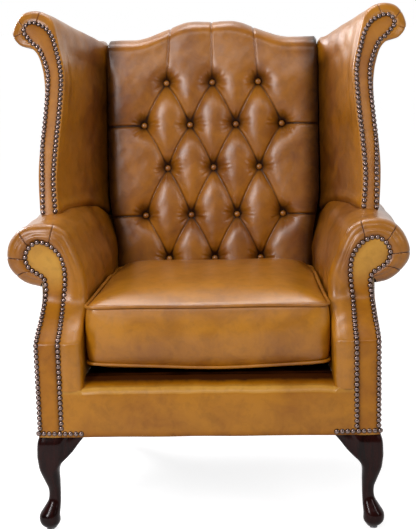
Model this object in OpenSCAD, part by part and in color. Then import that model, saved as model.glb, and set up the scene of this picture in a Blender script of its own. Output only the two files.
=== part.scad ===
// Wingback chair with scroll arms, deep-buttoned back, loose seat cushion and cabriole legs.
// Millimetres, +Z up, front towards -Y. A depth u is measured back from the front of the base.

/* [Overall] */
// Width of the base over its leather
base_w = 706; // [660:2:760]
// How far the front knees and feet stand ahead of the base
knee_proud = 7; // [3:0.5:12]
// Height of the leather's lower edge above the floor
skirt_z = 206; // [190:1:225]
// Angle by which each side turns in towards the back
side_turn_deg = 2.7; // [2:0.1:3.2]

/* [Seat] */
// Height of the seat frame's rails
rail_h = 88; // [80:1:92]
// Thickness of the seat frame's rails
rail_t = 28; // [22:1:32]
// Thickness of the padding on the seat deck
deck_pad_t = 22; // [18:1:26]
// Depth of the seat from the front of the base to the button line
seat_d = 501; // [490:1:520]
// Height of the seat cushion between its welts
cushion_h = 120; // [100:1:125]
// Rise of the cushion's crown above its upper welt
cushion_crown = 20; // [10:1:24]
// How far the cushion's front stands back from the front of the base
cushion_front_u = 38; // [30:1:60]
// How far the cushion's sides draw in between its corners
cushion_draw = 4; // [2:0.5:6]
// Corner radius of the cushion
cushion_r = 42; // [30:1:60]
// Diameter of the cushion's welt
welt_d = 7; // [5:0.5:9]

/* [Arms] */
// Height of the arm above the seat rail's lip
arm_h = 322; // [300:1:340]
// Width of the arm at its neck, over the leather
arm_neck_w = 95.5; // [90:0.5:100]
// Overhang of the scroll beyond the side of the base
arm_overhang = 72.5; // [60:0.5:80]
// Set-back of the arm's scroll behind the base
arm_setback = 100; // [80:1:120]
// Thickness of the padding on the arms
arm_pad_t = 16; // [12:1:18]

/* [Wings] */
// Height of the wing's scroll above the arm
wing_h = 431; // [400:1:450]
// Width of the wing's front from its inner edge to the outside of its scroll
wing_w = 126; // [120:1:132]
// Lean of the wing's front edge from upright
wing_lean_deg = 24.2; // [20:0.1:26]
// Set-back of the foot of the wing behind the arm's scroll
wing_setback = 148; // [130:1:160]
// Thickness of the padding on the wings
wing_pad_t = 10; // [8:0.5:11]

/* [Back] */
// Height of the crest above the seat deck, up the rake
back_h = 723; // [700:1:740]
// Rake of the back from upright
back_rake_deg = 10; // [8:0.25:11]
// Rise of the crest's middle above its shoulders
crest_rise = 42; // [30:1:50]
// Height of the roll along the crest
crest_roll_h = 42; // [36:1:46]
// Height of the puffs between the pleats
puff_h = 20; // [12:1:22]
// Depth of the buttons below the pleats
button_sink = 6; // [3:0.5:8]
// Diameter of a covered button
button_d = 15; // [12:0.5:16]
// Distance across half a diamond of the buttoning
button_dx = 54.8; // [50:0.2:56]
// Height of the lowest row of buttons above the seat deck
button_low = 152; // [145:1:160]
// Height from the lowest to the highest row of buttons
button_span = 420; // [400:1:430]
// Thickness of the foam behind the buttoning
back_foam_t = 50; // [40:1:52]
// Thickness of the back's posts, front to back
post_t = 45; // [38:1:46]

/* [Legs] */
// Width of a front leg's pad foot
foot_d = 42; // [36:1:46]
// Width of a front leg's ankle
ankle_d = 25; // [22:0.5:30]
// Width of a front leg at its top
knee_d = 62; // [54:1:66]
// Length of the ear beside a front leg's knee
ear_l = 34; // [20:1:36]
// How far a rear leg rakes back
rear_leg_rake = 78; // [50:1:90]
// Width of a rear leg at its top
rear_leg_w = 48; // [40:1:50]
// Thickness of a glide
glide_t = 3; // [2:0.5:5]

/* [Hidden] */

$fn = 48;

leather = "peru";
leather_light = "burlywood";
beech = "wheat";
foam = "lightyellow";
mahogany = "#2b1712";
steel = "silver";
cloth = "dimgray";

// Thickness of the leather
leather_t = 2;
// Clearance at soft and curved faces
gap = 0.3;
// Diameter of the seat springs' wire
wire_d = 4;

half_w = base_w / 2;
// How far the frame lies behind the outer face of the leather
frame_in = leather_t + gap;
rail_z = skirt_z + leather_t;
rail_top = rail_z + rail_h;
deck_z = rail_top + wire_d + gap + deck_pad_t + gap + leather_t;

// Functions and helpers

function mix(a, b, t) = a + (b - a) * t;
function clamp01(t) = max(0, min(1, t));
function unit(p) = p / max(norm(p), gap / 1000);
function flip(v) = [for (i = [len(v) - 1 : -1 : 0]) v[i]];

// The point i of a path, moved to the path's right by d
function path_normal(p, i) =
    let (t = unit(p[min(i + 1, len(p) - 1)] - p[max(i - 1, 0)])) [t[1], -t[0]];
function inset(p, i, d) = p[i] + path_normal(p, i) * d;

// A side's pieces are drawn straight at +X and turn in about the arm post's inner front corner
wall_x = half_w - arm_neck_w;
post_in_x = wall_x + leather_t + gap + arm_pad_t + gap;
post_out_x = half_w - frame_in;
module side_turn() {
    translate([post_in_x, 0, 0]) rotate([0, 0, side_turn_deg]) translate([-post_in_x, 0, 0]) children();
}
module right_side() { stand() side_turn() children(); }
module left_side() { stand() mirror([1, 0, 0]) side_turn() children(); }
// Depth in the side's own frame of a point at x that lies at depth u of the chair
function side_u(u, x) = (u - (x - post_in_x) * sin(side_turn_deg)) / cos(side_turn_deg);
// Half width of the chair at depth u where the side's own frame has x
function turned_x(x, u) =
    post_in_x + (x - post_in_x) * cos(side_turn_deg) - u * sin(side_turn_deg);

// Everything stands centred over its own length and width
module stand() { translate([0, -(rear_end_u + front_end_u) / 2, 0]) children(); }

// The back is drawn upright: x across, y behind the button line, z up the rake from the deck
module back_frame() {
    stand() translate([0, seat_d, deck_z]) rotate([-back_rake_deg, 0, 0]) children();
}
// Depth u, at height z, of the plane that lies v behind the button line
function back_u(v, z) = seat_d + v / cos(back_rake_deg) + (z - deck_z) * tan(back_rake_deg);
// Height up the rake of a point of the plane v that is at height z
function back_w(z, v = 0) = (z - deck_z) / cos(back_rake_deg) + v * tan(back_rake_deg);

// Closed skin between an outer and an inner sheet of points, joined round the edges
function sheet_faces(m, n, k, turned) = [
    for (i = [0 : m - 2], j = [0 : n - 2])
        let (a = k + i * n + j, b = a + 1, c = a + n + 1, d = a + n)
        each (turned ? [[a, c, b], [a, d, c]] : [[a, b, c], [a, c, d]])
];
function rim_edges(m, n) = concat(
    [for (j = [0 : n - 2]) [j, j + 1]],
    [for (i = [0 : m - 2]) [i * n + n - 1, (i + 1) * n + n - 1]],
    [for (j = [n - 1 : -1 : 1]) [(m - 1) * n + j, (m - 1) * n + j - 1]],
    [for (i = [m - 1 : -1 : 1]) [i * n, (i - 1) * n]]
);
module skin(outer, inner) {
    m = len(outer);
    n = len(outer[0]);
    k = m * n;
    polyhedron(
        points = concat([for (r = outer) each r], [for (r = inner) each r]),
        faces = concat(
            sheet_faces(m, n, 0, false), sheet_faces(m, n, k, true),
            [for (e = rim_edges(m, n)) each [[e[1], e[0], e[0] + k], [e[1], e[0] + k, e[1] + k]]]
        )
    );
}
// Closed solid through rings of points, capped by fans
module loft(rings) {
    m = len(rings);
    n = len(rings[0]);
    e = (m - 1) * n;
    polyhedron(
        points = [for (r = rings) each r],
        faces = concat(
            [for (i = [0 : m - 2], j = [0 : n - 1])
                let (a = i * n + j, b = i * n + (j + 1) % n, c = b + n, d = a + n)
                each [[a, c, b], [a, d, c]]],
            [for (j = [1 : n - 2]) [0, j, j + 1]],
            [for (j = [1 : n - 2]) [e, e + j + 1, e + j]]
        )
    );
}
// Board with its outline in x and z, from depth u0 to u1
module board_xz(points, u0, u1) {
    translate([0, u1, 0]) rotate([90, 0, 0]) linear_extrude(u1 - u0) polygon(points);
}
// Board with its outline in u and z, from x0 to x1
module board_uz(points, x0, x1) {
    translate([x0, 0, 0]) rotate([90, 0, 90]) linear_extrude(x1 - x0) polygon(points);
}
module block(lo, hi) { translate(lo) cube(hi - lo); }

// Places of the back's layers, behind the button line

quilt_back_v = 6;
foam_v = quilt_back_v + gap;
web_v = foam_v + back_foam_t + gap;
web_t = 1.5;
frame_v = web_v + web_t + gap;
frame_back_v = frame_v + post_t;
skin_v = frame_back_v + gap;
back_v = skin_v + leather_t;

// The arm: x shares run from 0 at the inner wall over 1 at the base's side to 2 at the scroll's
// outside, z shares from 0 at the rail's lip to 1 at the arm's top

lip_h = 12;
lip_z = rail_top + lip_h;
arm_z = lip_z + leather_t;
crease_share = 0.295;
neck_share = 0.497;
arm_outline_shares = [
    [0, 0], [0, 0.295], [0, 0.394], [0, 0.497], [0, 0.59], [0.044, 0.661], [0.1, 0.717],
    [0.225, 0.817], [0.32, 0.882], [0.455, 0.944], [0.675, 0.988], [0.927, 1], [1.234, 0.995],
    [1.593, 0.963], [1.855, 0.8975], [2, 0.81], [1.966, 0.733], [1.745, 0.66], [1.414, 0.612],
    [1.1, 0.593], [1.03, 0.592]
];
arm_nail_shares = [
    [0.476, 0], [0.476, 0.295], [0.487, 0.394], [0.505, 0.497], [0.476, 0.59], [0.463, 0.652],
    [0.466, 0.702], [0.497, 0.764], [0.55, 0.801], [0.654, 0.842], [0.78, 0.873], [0.927, 0.891],
    [1.097, 0.891], [1.276, 0.863], [1.386, 0.829], [1.428, 0.792], [1.372, 0.739],
    [1.207, 0.702], [1.041, 0.68], [0.927, 0.658], [0.913, 0.637]
];
arm_neck_shares = [[0.913, 0.59], [0.9445, 0.497], [0.958, 0.394], [0.974, 0.295], [0.974, 0]];
function arm_point(s) = [
    wall_x + min(s[0], 1) * arm_neck_w + max(s[0] - 1, 0) * arm_overhang,
    arm_z + s[1] * arm_h
];
arm_outline = [for (s = arm_outline_shares) arm_point(s)];
arm_nails = [for (s = arm_nail_shares) arm_point(s)];
arm_neck = [for (s = arm_neck_shares) arm_point(s)];
arm_n = len(arm_outline);
crease_z = arm_z + crease_share * arm_h;
neck_z = arm_z + neck_share * arm_h;
// Depth of the arm's front face at height z: upright, slanting back, upright again
function arm_front_u(z) = arm_setback * clamp01((z - crease_z) / (neck_z - crease_z));
// Radius of the arm's front edge
arm_edge_r = 14;
arm_pad_in = leather_t + gap + arm_pad_t;
// The scroll's upper side as a table, for what stands on it
arm_top = [for (i = [5 : 15]) arm_outline[i]];

// The last column of an arm's sheets: at the back's frame inside, at the plane v outside
function arm_end_u(p, v) = side_u(back_u(p[0] > half_w ? v : frame_v - gap, p[1]), p[0]);

// Columns of an arm sheet at depth t below the leather's face; edge is the depth of its front rim
function arm_sheet(t, edge) = [
    for (i = [0 : arm_n - 1])
        let (
            u = arm_front_u(arm_outline[i][1]),
            rim = edge > 0 ? inset(arm_outline, i, edge)
                : arm_nails[i] + unit(arm_outline[i] - arm_nails[i]) * (gap + gap),
            k = arm_edge_r - (arm_edge_r - t) * cos(45),
            flat = inset(arm_outline, i, arm_edge_r),
            mid = inset(arm_outline, i, k),
            side = inset(arm_outline, i, t)
        ) [
            [rim[0], u + t, rim[1]],
            [flat[0], u + t, flat[1]],
            [mid[0], u + k, mid[1]],
            [side[0], u + arm_edge_r, side[1]],
            [side[0], arm_end_u(side, t > 0 && edge > 0 ? frame_back_v : back_v), side[1]]
        ]
];
module arm_leather() { skin(arm_sheet(0, 0), arm_sheet(leather_t, 0)); }
module arm_pad() {
    inner = [
        for (i = [0 : arm_n - 1])
            let (u = arm_front_u(arm_outline[i][1]) + frame_in, p = inset(arm_outline, i, arm_pad_in)) [
                for (k = [1 : 4]) [p[0], u + k * arm_edge_r / 4, p[1]],
                [p[0], arm_end_u(p, frame_back_v), p[1]]
            ]
    ];
    skin(arm_sheet(frame_in, arm_pad_in - leather_t), inner);
}
module arm_facing() {
    pairs = concat(
        [[[arm_neck[4][0], skirt_z], [arm_nails[0][0], skirt_z]]],
        [for (i = [0 : 3]) [arm_neck[4 - i], arm_nails[i]]],
        [[arm_neck[0], arm_nails[4]]],
        [for (i = [5 : 12]) [arm_nails[25 - i], arm_nails[i]]]
    );
    front = [for (p = pairs) [for (q = p) [q[0], arm_front_u(q[1]), q[1]]]];
    back = [for (p = pairs) [for (q = p) [q[0], arm_front_u(q[1]) + leather_t, q[1]]]];
    skin(front, back);
}
// Depth of the arm post, front to back
arm_post_d = 34;
module arm_post() {
    f = frame_in;
    slope_drop = arm_post_d * 0.6;
    board_uz([
        [f, rail_z], [f, crease_z], [arm_setback + f, neck_z],
        [arm_setback + f + arm_post_d, neck_z],
        [arm_setback + f + arm_post_d, neck_z - slope_drop],
        [f + arm_post_d, crease_z - slope_drop], [f + arm_post_d, rail_z]
    ], post_in_x, post_out_x);
    scroll = [for (i = [3 : arm_n - 2]) inset(arm_outline, i, arm_pad_in + gap)];
    foot_z = neck_z - slope_drop / 2;
    board_xz(
        concat(scroll, [[post_out_x, scroll[arm_n - 5][1]], [post_out_x, foot_z], [post_in_x, foot_z]]),
        arm_setback + f, arm_setback + f + arm_post_d
    );
}
// Thickness of the arm's rails
arm_rail_t = 25;
module arm_rail() {
    x0 = half_w - 1.5 * arm_rail_t;
    x1 = half_w + arm_rail_t;
    z1 = arm_z + arm_h - arm_pad_in - arm_rail_t / 2;
    z0 = z1 - arm_rail_t;
    u0 = arm_setback + frame_in + arm_post_d;
    board_uz([
        [u0, z0], [side_u(back_u(frame_v - gap, z0), x1), z0],
        [side_u(back_u(frame_v - gap, z1), x1), z1], [u0, z1]
    ], x0, x1);
}
module arm_tack_rail() {
    z0 = deck_z;
    z1 = z0 + rail_h / 2;
    u0 = frame_in + arm_post_d;
    x1 = post_in_x + arm_rail_t;
    board_uz([
        [u0, z0], [side_u(back_u(frame_v - gap, z0), x1), z0],
        [side_u(back_u(frame_v - gap, z1), x1), z1], [u0, z1]
    ], post_in_x, x1);
}
module side_rail() {
    u0 = frame_in + arm_post_d;
    x0 = post_out_x - rail_t;
    board_uz([
        [u0, rail_z], [side_u(back_u(frame_v - gap, rail_z), post_out_x), rail_z],
        [side_u(back_u(frame_v - gap, rail_top), post_out_x), rail_top], [u0, rail_top]
    ], x0, post_out_x);
}
// Flat panel on the arm's outside, with the leather that closes the scroll's rear end
module outside_arm() {
    top_z = arm_outline[arm_n - 1][1] - leather_t;
    x0 = half_w - leather_t;
    board_uz([
        [0, skirt_z], [0, crease_z], [arm_setback, neck_z], [arm_setback, top_z],
        [side_u(back_u(back_v, top_z), x0), top_z],
        [side_u(back_u(back_v, skirt_z), x0), skirt_z]
    ], x0, half_w);
    end = [for (i = [12 : arm_n - 2]) inset(arm_outline, i, leather_t + gap)];
    rear = [for (p = end) [p[0], side_u(back_u(back_v, p[1]), p[0]), p[1]]];
    front = [for (p = rear) [p[0], p[1] - leather_t, p[2]]];
    loft([front, rear]);
}

// The wing: x shares across the wing's front, z shares from its foot on the arm to its top; the
// rear outline gives the same points where the wing meets the back

wing_x = arm_point([0.843, 0])[0];
wing_z = arm_z + arm_h + leather_t + leather_t;
wing_rear_x = arm_point([0.236, 0])[0];
wing_rear_w = 51;
// The rear of a wing's top lies a little below the shoulders of the back
wing_rear_drop = 5;
wing_rear_h = deck_z + (back_h - crest_rise) * cos(back_rake_deg) - wing_rear_drop - wing_z;
wing_outline_shares = [
    [0, 0], [0.063, 0.155], [0.048, 0.326], [0.016, 0.461], [0, 0.571], [0, 0.653],
    [0.04, 0.724], [0.103, 0.787], [0.175, 0.864], [0.27, 0.946], [0.437, 0.988], [0.627, 1],
    [0.817, 0.988], [0.937, 0.951], [1, 0.895], [0.96, 0.857], [0.833, 0.822], [0.635, 0.806],
    [0.508, 0.766], [0.421, 0.698], [0.389, 0.658], [0.357, 0.583], [0.357, 0.443],
    [0.397, 0.309], [0.405, 0.164], [0.333, 0]
];
wing_nail_shares = [
    [0.063, 0], [0.135, 0.155], [0.119, 0.326], [0.087, 0.461], [0.071, 0.571], [0.071, 0.653],
    [0.111, 0.724], [0.175, 0.787], [0.254, 0.857], [0.373, 0.906], [0.524, 0.932],
    [0.627, 0.941], [0.73, 0.934], [0.786, 0.906], [0.783, 0.897], [0.78, 0.888],
    [0.74, 0.873], [0.63, 0.838], [0.49, 0.806], [0.345, 0.715], [0.302, 0.653],
    [0.302, 0.571], [0.325, 0.443], [0.349, 0.309], [0.325, 0.164], [0.286, 0]
];
wing_rear_shares = [
    [0, 0], [0, 0.155], [0, 0.326], [0, 0.461], [0, 0.571], [0, 0.653], [0, 0.73], [0, 0.8],
    [0, 0.87], [0.02, 0.94], [0.2, 0.99], [0.5, 1], [0.8, 0.99], [0.95, 0.965], [1, 0.93],
    [1, 0.9], [1, 0.87], [1, 0.84], [1, 0.8], [1, 0.72], [1, 0.66], [1, 0.58], [1, 0.44],
    [1, 0.31], [1, 0.16], [1, 0]
];
wing_front = [for (s = wing_outline_shares) [wing_x + s[0] * wing_w, wing_z + s[1] * wing_h]];
wing_nails = [for (s = wing_nail_shares) [wing_x + s[0] * wing_w, wing_z + s[1] * wing_h]];
wing_rear = [
    for (s = wing_rear_shares) [wing_rear_x + s[0] * wing_rear_w, wing_z + s[1] * wing_rear_h]
];
wing_n = len(wing_front);
wing_foot_u = arm_setback + wing_setback;
function wing_front_u(z) = wing_foot_u + (z - wing_z) * tan(wing_lean_deg);
// A wing's foot follows the arm's scroll; its depth moves with its height by the slope k
function wing_foot(p, i, k) =
    let (z = i == 0 || i == wing_n - 1 ? lookup(p[0], arm_top) + 2 * gap : p[2])
    [p[0], p[1] + (z - p[2]) * k, z];
front_slope = tan(wing_lean_deg);
rear_slope = tan(back_rake_deg);
// Point i of the wing at depth t below its leather, a share s of the way from front to back
function wing_at(i, t, s) =
    let (a = inset(wing_front, i, t), b = inset(wing_rear, i, t))
    wing_foot([
        mix(a[0], b[0], s), mix(wing_front_u(a[1]), side_u(back_u(0, b[1]), b[0]), s),
        mix(a[1], b[1], s)
    ], i, mix(front_slope, rear_slope, s));
// The same, a length du behind the wing's front edge
function wing_behind(i, t, du) =
    let (a = inset(wing_front, i, t), b = inset(wing_rear, i, t))
    wing_at(i, t, du / (side_u(back_u(0, b[1]), b[0]) - wing_front_u(a[1])));
// The wing's last column: at the back's frame below the top, at its outer face elsewhere
function wing_end(i, t, v_top) =
    let (b = inset(wing_rear, i, t), v = i < 9 ? frame_v - gap : v_top)
    wing_foot([b[0], side_u(back_u(v, b[1]), b[0]), b[1]], i, rear_slope);
wing_edge_r = 7;
wing_pad_in = leather_t + gap + wing_pad_t;
// Columns of a wing's sheets; in its foot they stand over the corners of the arm's outline
wing_steps = [0.25, 0.5, 0.8, 1];
foot_corners = [for (i = [10, 9, 8, 7]) arm_outline[i][0]];
heel_corners = [for (i = [12, 11, 11, 10]) arm_outline[i][0]];
function wing_step(i, t, k) =
    let (a = inset(wing_front, i, t)[0], b = inset(wing_rear, i, t)[0])
    i == 0 ? min((a - foot_corners[k]) / (a - b), 1 - (3 - k) / 30)
        : i == wing_n - 1 && k != 1 ? clamp01((a - heel_corners[k]) / (a - b))
        : wing_steps[k];
function wing_row(i, t, edge) =
    let (
        k = wing_edge_r - (wing_edge_r - t) * cos(45),
        rim = edge > 0 ? inset(wing_front, i, edge)
            : wing_nails[i] + unit(wing_front[i] - wing_nails[i]) * (gap + gap),
        flat = inset(wing_front, i, min(wing_edge_r, norm(wing_front[i] - wing_nails[i]) - 4 * gap)),
        mid = inset(wing_front, i, k),
        side = inset(wing_front, i, t)
    ) concat(
        [
            wing_foot([rim[0], wing_front_u(rim[1]) + t, rim[1]], i, front_slope),
            wing_foot([flat[0], wing_front_u(flat[1]) + t, flat[1]], i, front_slope),
            wing_foot([mid[0], wing_front_u(mid[1]) + k, mid[1]], i, front_slope),
            wing_foot([side[0], wing_front_u(side[1]) + wing_edge_r, side[1]], i, front_slope)
        ],
        [for (k = [0 : 3]) wing_at(i, t, wing_step(i, t, k))],
        [wing_end(i, t, edge > 0 ? frame_back_v : back_v)]
    );
function wing_inner_row(i, t) = concat(
    [for (k = [0 : 3]) wing_behind(i, t, frame_in + k * wing_edge_r / 3)],
    [for (k = [0 : 3]) wing_at(i, t, wing_step(i, t, k))],
    [wing_end(i, t, frame_back_v)]
);
wing_last = 18;
module wing_leather() {
    skin([for (i = [0 : wing_last]) wing_row(i, 0, 0)],
        [for (i = [0 : wing_last]) wing_row(i, leather_t, 0)]);
}
function between_rows(a, b, s) = [for (j = [0 : len(a) - 1]) mix(a[j], b[j], s)];
// Rows of which the lowest starts a share s of the way to the next
function raised(rows, s) = [for (i = [0 : len(rows) - 1]) i == 0 ? between_rows(rows[0], rows[1], s) : rows[i]];
foot_lift_share = 0.045;
module wing_pad() {
    skin(raised([for (i = [0 : wing_last]) wing_row(i, frame_in, wing_pad_in - leather_t)], foot_lift_share),
        raised([for (i = [0 : wing_last]) wing_inner_row(i, wing_pad_in)], foot_lift_share));
}
// The outside panel starts a little below the scroll's leather
module wing_outside() {
    slit = 0.04;
    skin(
        concat([between_rows(wing_row(wing_last, 0, 0), wing_row(wing_last + 1, 0, 0), slit)],
            [for (i = [wing_last + 1 : wing_n - 1]) wing_row(i, 0, 0)]),
        concat([between_rows(wing_row(wing_last, leather_t, 0), wing_row(wing_last + 1, leather_t, 0), slit)],
            [for (i = [wing_last + 1 : wing_n - 1]) wing_row(i, leather_t, 0)])
    );
}
function wing_nail_point(i, t) =
    wing_foot([wing_nails[i][0], wing_front_u(wing_nails[i][1]) + t, wing_nails[i][1]], i, front_slope);
module wing_facing() {
    function sheet(t) = [for (i = [0 : 12]) [for (k = [25 - i, i]) wing_nail_point(k, t)]];
    skin(raised(sheet(0), foot_lift_share / 2), raised(sheet(leather_t), foot_lift_share / 2));
}
wing_post_t = 26;
module wing_post() {
    function depth(i) = i > wing_last ? 3 * leather_t : wing_pad_in + gap;
    function sheet(du) = [
        for (i = [0 : 12]) [for (k = [25 - i, i]) wing_behind(k, depth(k), du)]
    ];
    skin(raised(sheet(frame_in + gap), foot_lift_share), raised(sheet(frame_in + wing_post_t), foot_lift_share));
}
module wing_rail() {
    corners = [9, 11, 14, 16];
    t = wing_pad_in + 2 * leather_t;
    function end(i) =
        let (b = inset(wing_rear, i, t)) [b[0], side_u(back_u(frame_v - gap, b[1]), wing_rear_x), b[1]];
    loft([
        [for (i = corners) wing_behind(i, t, frame_in + wing_post_t + gap)],
        [for (i = corners) wing_at(i, t, 1)],
        [for (i = corners) end(i)]
    ]);
}

// The back

crest_flat_share = 0.155;
crest_slope_share = 0.62;
crest_half = turned_x(wing_rear_x, side_u(back_u(frame_v, deck_z + back_h), wing_rear_x)) - 2 * gap;
function crest_w(x) =
    back_h - crest_rise * (1 - cos(180 * clamp01((abs(x) / crest_half - crest_flat_share) / crest_slope_share))) / 2;
post_x = wall_x + leather_t + leather_t;
post_w = 34;
post_foot_w = turned_x(post_out_x, side_u(back_u(back_v, neck_z), post_out_x)) - gap - post_x;
seat_edge_x = turned_x(wall_x, side_u(back_u(frame_v, neck_z + arm_pad_in), wall_x)) - 2 * gap;
back_edge_x = crest_half - gap;
quilt_low = arm_outline[4][1] + 6 * leather_t;
quilt_high = arm_z + arm_h;
// Half width of the quilt and of the foam at height w up the back
function back_half(w) =
    mix(seat_edge_x, back_edge_x, clamp01((w - back_w(quilt_low)) / (back_w(quilt_high) - back_w(quilt_low))));
button_row_shares = [0, 0.249, 0.517, 0.761, 1];
function row_w(r) = button_low + button_row_shares[r] * button_span;
buttons = [
    for (r = [0 : 4], k = r % 2 == 0 ? [-2, 0, 2] : [-3, -1, 1, 3]) [k * button_dx, row_w(r)]
];
function buttons_of(r) = [for (b = buttons) if (abs(b[1] - row_w(r)) < gap) b];
// Deep pleats run between neighbouring buttons and down to the seat
pleats = concat(
    [for (r = [0 : 3], a = buttons_of(r), b = buttons_of(r + 1))
        if (abs(abs(a[0] - b[0]) - button_dx) < gap) [a, b]],
    [for (b = buttons_of(0)) [b, [b[0], -back_h]]]
);
// Shallow folds run from the top buttons over the crest and from the outer buttons to the wings
folds = concat(
    [for (b = buttons_of(4)) [b, [b[0] * 0.84, back_h]]],
    [for (r = [1, 3], s = [-1, 1]) [[s * 3 * button_dx, row_w(r)], [s * half_w, row_w(r)]]]
);
function line_gap(p, a, b) =
    let (d = b - a, t = clamp01((p - a) * d / (d * d))) norm(p - a - t * d);
pleat_reach = 22;
button_reach = 12;
fold_reach = 8;
fold_h = 3;
function bulge(d, reach, power) = 1 - exp(-pow(d / reach, power));
// Height of the leather over the button line, which settles to half a puff under the crest
function puff(x, w) =
    let (
        side = max(0, back_half(w) - abs(x)),
        pleat = min(min([for (l = pleats) line_gap([x, w], l[0], l[1])]), side),
        fold = min([for (l = folds) line_gap([x, w], l[0], l[1])]),
        hole = min([for (b = buttons) norm([x, w] - b)]),
        dip = bulge(hole, button_reach, 2),
        full = puff_h * bulge(pleat, pleat_reach, 1.6) + button_sink * dip,
        up = clamp01((w - row_w(4)) / (crest_w(x) - crest_roll_h - row_w(4)))
    )
    mix(full, min(full, puff_h / 2), up * up) - fold_h * (1 - bulge(fold, fold_reach, 2)) * dip * (1 - up);
quilt_cols = 12;
col_w = button_dx / 3;
function quilt_x(j, w) =
    let (k = abs(j), e = back_half(w), c = quilt_cols * col_w, s = sign(j))
    k <= quilt_cols ? j * col_w : s * (k == quilt_cols + 1 ? (c + e) / 2 : e);
low_shares = [0, 0.4, 0.72, 0.9];
row_cells = 6;
top_cells = 5;
quilt_top = back_h - crest_roll_h - gap;
function rows_at(x) = concat(
    [for (s = low_shares) s * button_low],
    [for (r = [0 : 3], k = [0 : row_cells - 1]) mix(row_w(r), row_w(r + 1), k / row_cells)],
    [for (k = [0 : top_cells]) mix(row_w(4), crest_w(x) - crest_roll_h - gap, k / top_cells)]
);
module quilt() {
    js = [quilt_cols + 2 : -1 : -quilt_cols - 2];
    ws = rows_at(0);
    m = len(ws);
    n = 2 * quilt_cols + 5;
    front = [
        for (i = [0 : m - 1], j = js)
            let (x = quilt_x(j, ws[i]), w = rows_at(x)[i]) [x, -puff(x, w), w]
    ];
    edges = rim_edges(m, n);
    k = m * n;
    rear = [for (e = edges) [front[e[0]][0], quilt_back_v, front[e[0]][2]]];
    c = len(edges);
    polyhedron(
        points = concat(front, rear, [[0, quilt_back_v, back_h / 2]]),
        faces = concat(
            sheet_faces(m, n, 0, false),
            [for (q = [0 : c - 1]) each [
                [edges[q][1], edges[q][0], k + q], [edges[q][1], k + q, k + (q + 1) % c],
                [k + (q + 1) % c, k + q, k + c]
            ]]
        )
    );
}
// Upper edge of the pieces under the crest roll, from one half width to the other
function crest_edge(x, drop) = [
    for (k = [quilt_cols : -1 : -quilt_cols])
        if (abs(k * col_w) < x - gap) [k * col_w, crest_w(k * col_w) - drop]
];
module back_slab() {
    hi = crest_w(back_edge_x) - crest_roll_h - gap;
    translate([0, foam_v + back_foam_t, 0]) rotate([90, 0, 0]) linear_extrude(back_foam_t) polygon(concat(
        [[-seat_edge_x, 0], [seat_edge_x, 0], [seat_edge_x, back_w(quilt_low)],
            [back_edge_x, back_w(quilt_high)], [back_edge_x, hi]],
        crest_edge(back_edge_x, crest_roll_h + gap),
        [[-back_edge_x, hi], [-back_edge_x, back_w(quilt_high)], [-seat_edge_x, back_w(quilt_low)]]
    ));
}
crest_section = [for (k = [0 : 10]) [cos(18 * k), sin(18 * k)]];
module crest() {
    xs = concat([-crest_half], [for (k = [-quilt_cols : quilt_cols]) k * col_w], [crest_half]);
    loft([
        for (x = xs) [
            for (p = crest_section) [x, crest_mid_v + crest_half_d * p[0], crest_w(x) - crest_roll_h * (1 - p[1])]
        ]
    ]);
}
crest_rail_h = 92;
post_top_w = back_w(wing_rear[wing_last][1] - 2 * gap, frame_v);
module crest_board() {
    w0 = back_h - crest_roll_h - crest_rail_h;
    x = post_x - gap;
    hi = crest_w(x) - crest_roll_h - gap;
    translate([0, frame_back_v, 0]) rotate([90, 0, 0]) linear_extrude(post_t) polygon(concat(
        [[-x, w0], [x, w0], [x, hi]], crest_edge(x, crest_roll_h + gap), [[-x, hi]]
    ));
}
module back_post() {
    lo = back_w(rail_z, frame_back_v);
    translate([0, frame_back_v, 0]) rotate([90, 0, 0]) linear_extrude(post_t) polygon([
        [post_x, lo], [post_x + post_foot_w, lo], [post_x + post_foot_w, back_w(neck_z)],
        [post_x + post_w, back_w(quilt_high - rail_t)],
        [post_x + post_w, post_top_w], [post_x, post_top_w]
    ]);
}
tack_rail_h = 50;
module tack_rail() {
    x = post_x - gap;
    block([-x, frame_v, leather_t], [x, frame_back_v, leather_t + tack_rail_h]);
}
module rear_rail() {
    x = post_x - gap;
    lo = back_w(rail_z, frame_back_v);
    block([-x, frame_v, lo], [x, frame_v + rail_t, lo + rail_h]);
}
web_w = 52;
module webbing() {
    for (k = [-1.5 : 1.5])
        translate([k * 2 * web_w, 0, 0])
            block([-web_w / 2, web_v, leather_t], [web_w / 2, web_v + web_t, quilt_top - crest_rise - 2 * gap]);
}
module back_panel() {
    x_low = turned_x(half_w - leather_t, side_u(back_u(back_v, skirt_z), half_w)) - 2 * gap;
    x_arm = turned_x(half_w - leather_t, side_u(back_u(back_v, quilt_high), half_w)) - 2 * gap;
    x_top = turned_x(wing_rear_x + wing_rear_w - leather_t,
        side_u(back_u(back_v, wing_z), wing_rear_x)) - 2 * gap;
    lo = back_w(skirt_z, back_v);
    side = crest_half + gap;
    hi = crest_w(side) - crest_roll_h - gap;
    arm_w = back_w(quilt_high - leather_t, back_v);
    top = [
        for (i = [19 : -1 : 9])
            let (p = inset(wing_rear, i, leather_t + 3 * gap))
            [turned_x(p[0], side_u(back_u(back_v, p[1]), p[0])) - (i > 14 ? gap : 0), back_w(p[1], back_v)]
    ];
    right = concat([[x_low, lo], [x_arm, arm_w], [x_top, arm_w]], top, [[side, top[10][1]], [side, hi]]);
    translate([0, back_v, 0]) rotate([90, 0, 0]) linear_extrude(leather_t) polygon(concat(
        right, crest_edge(crest_half, crest_roll_h + gap), [for (p = flip(right)) [-p[0], p[1]]]
    ));
}
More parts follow.
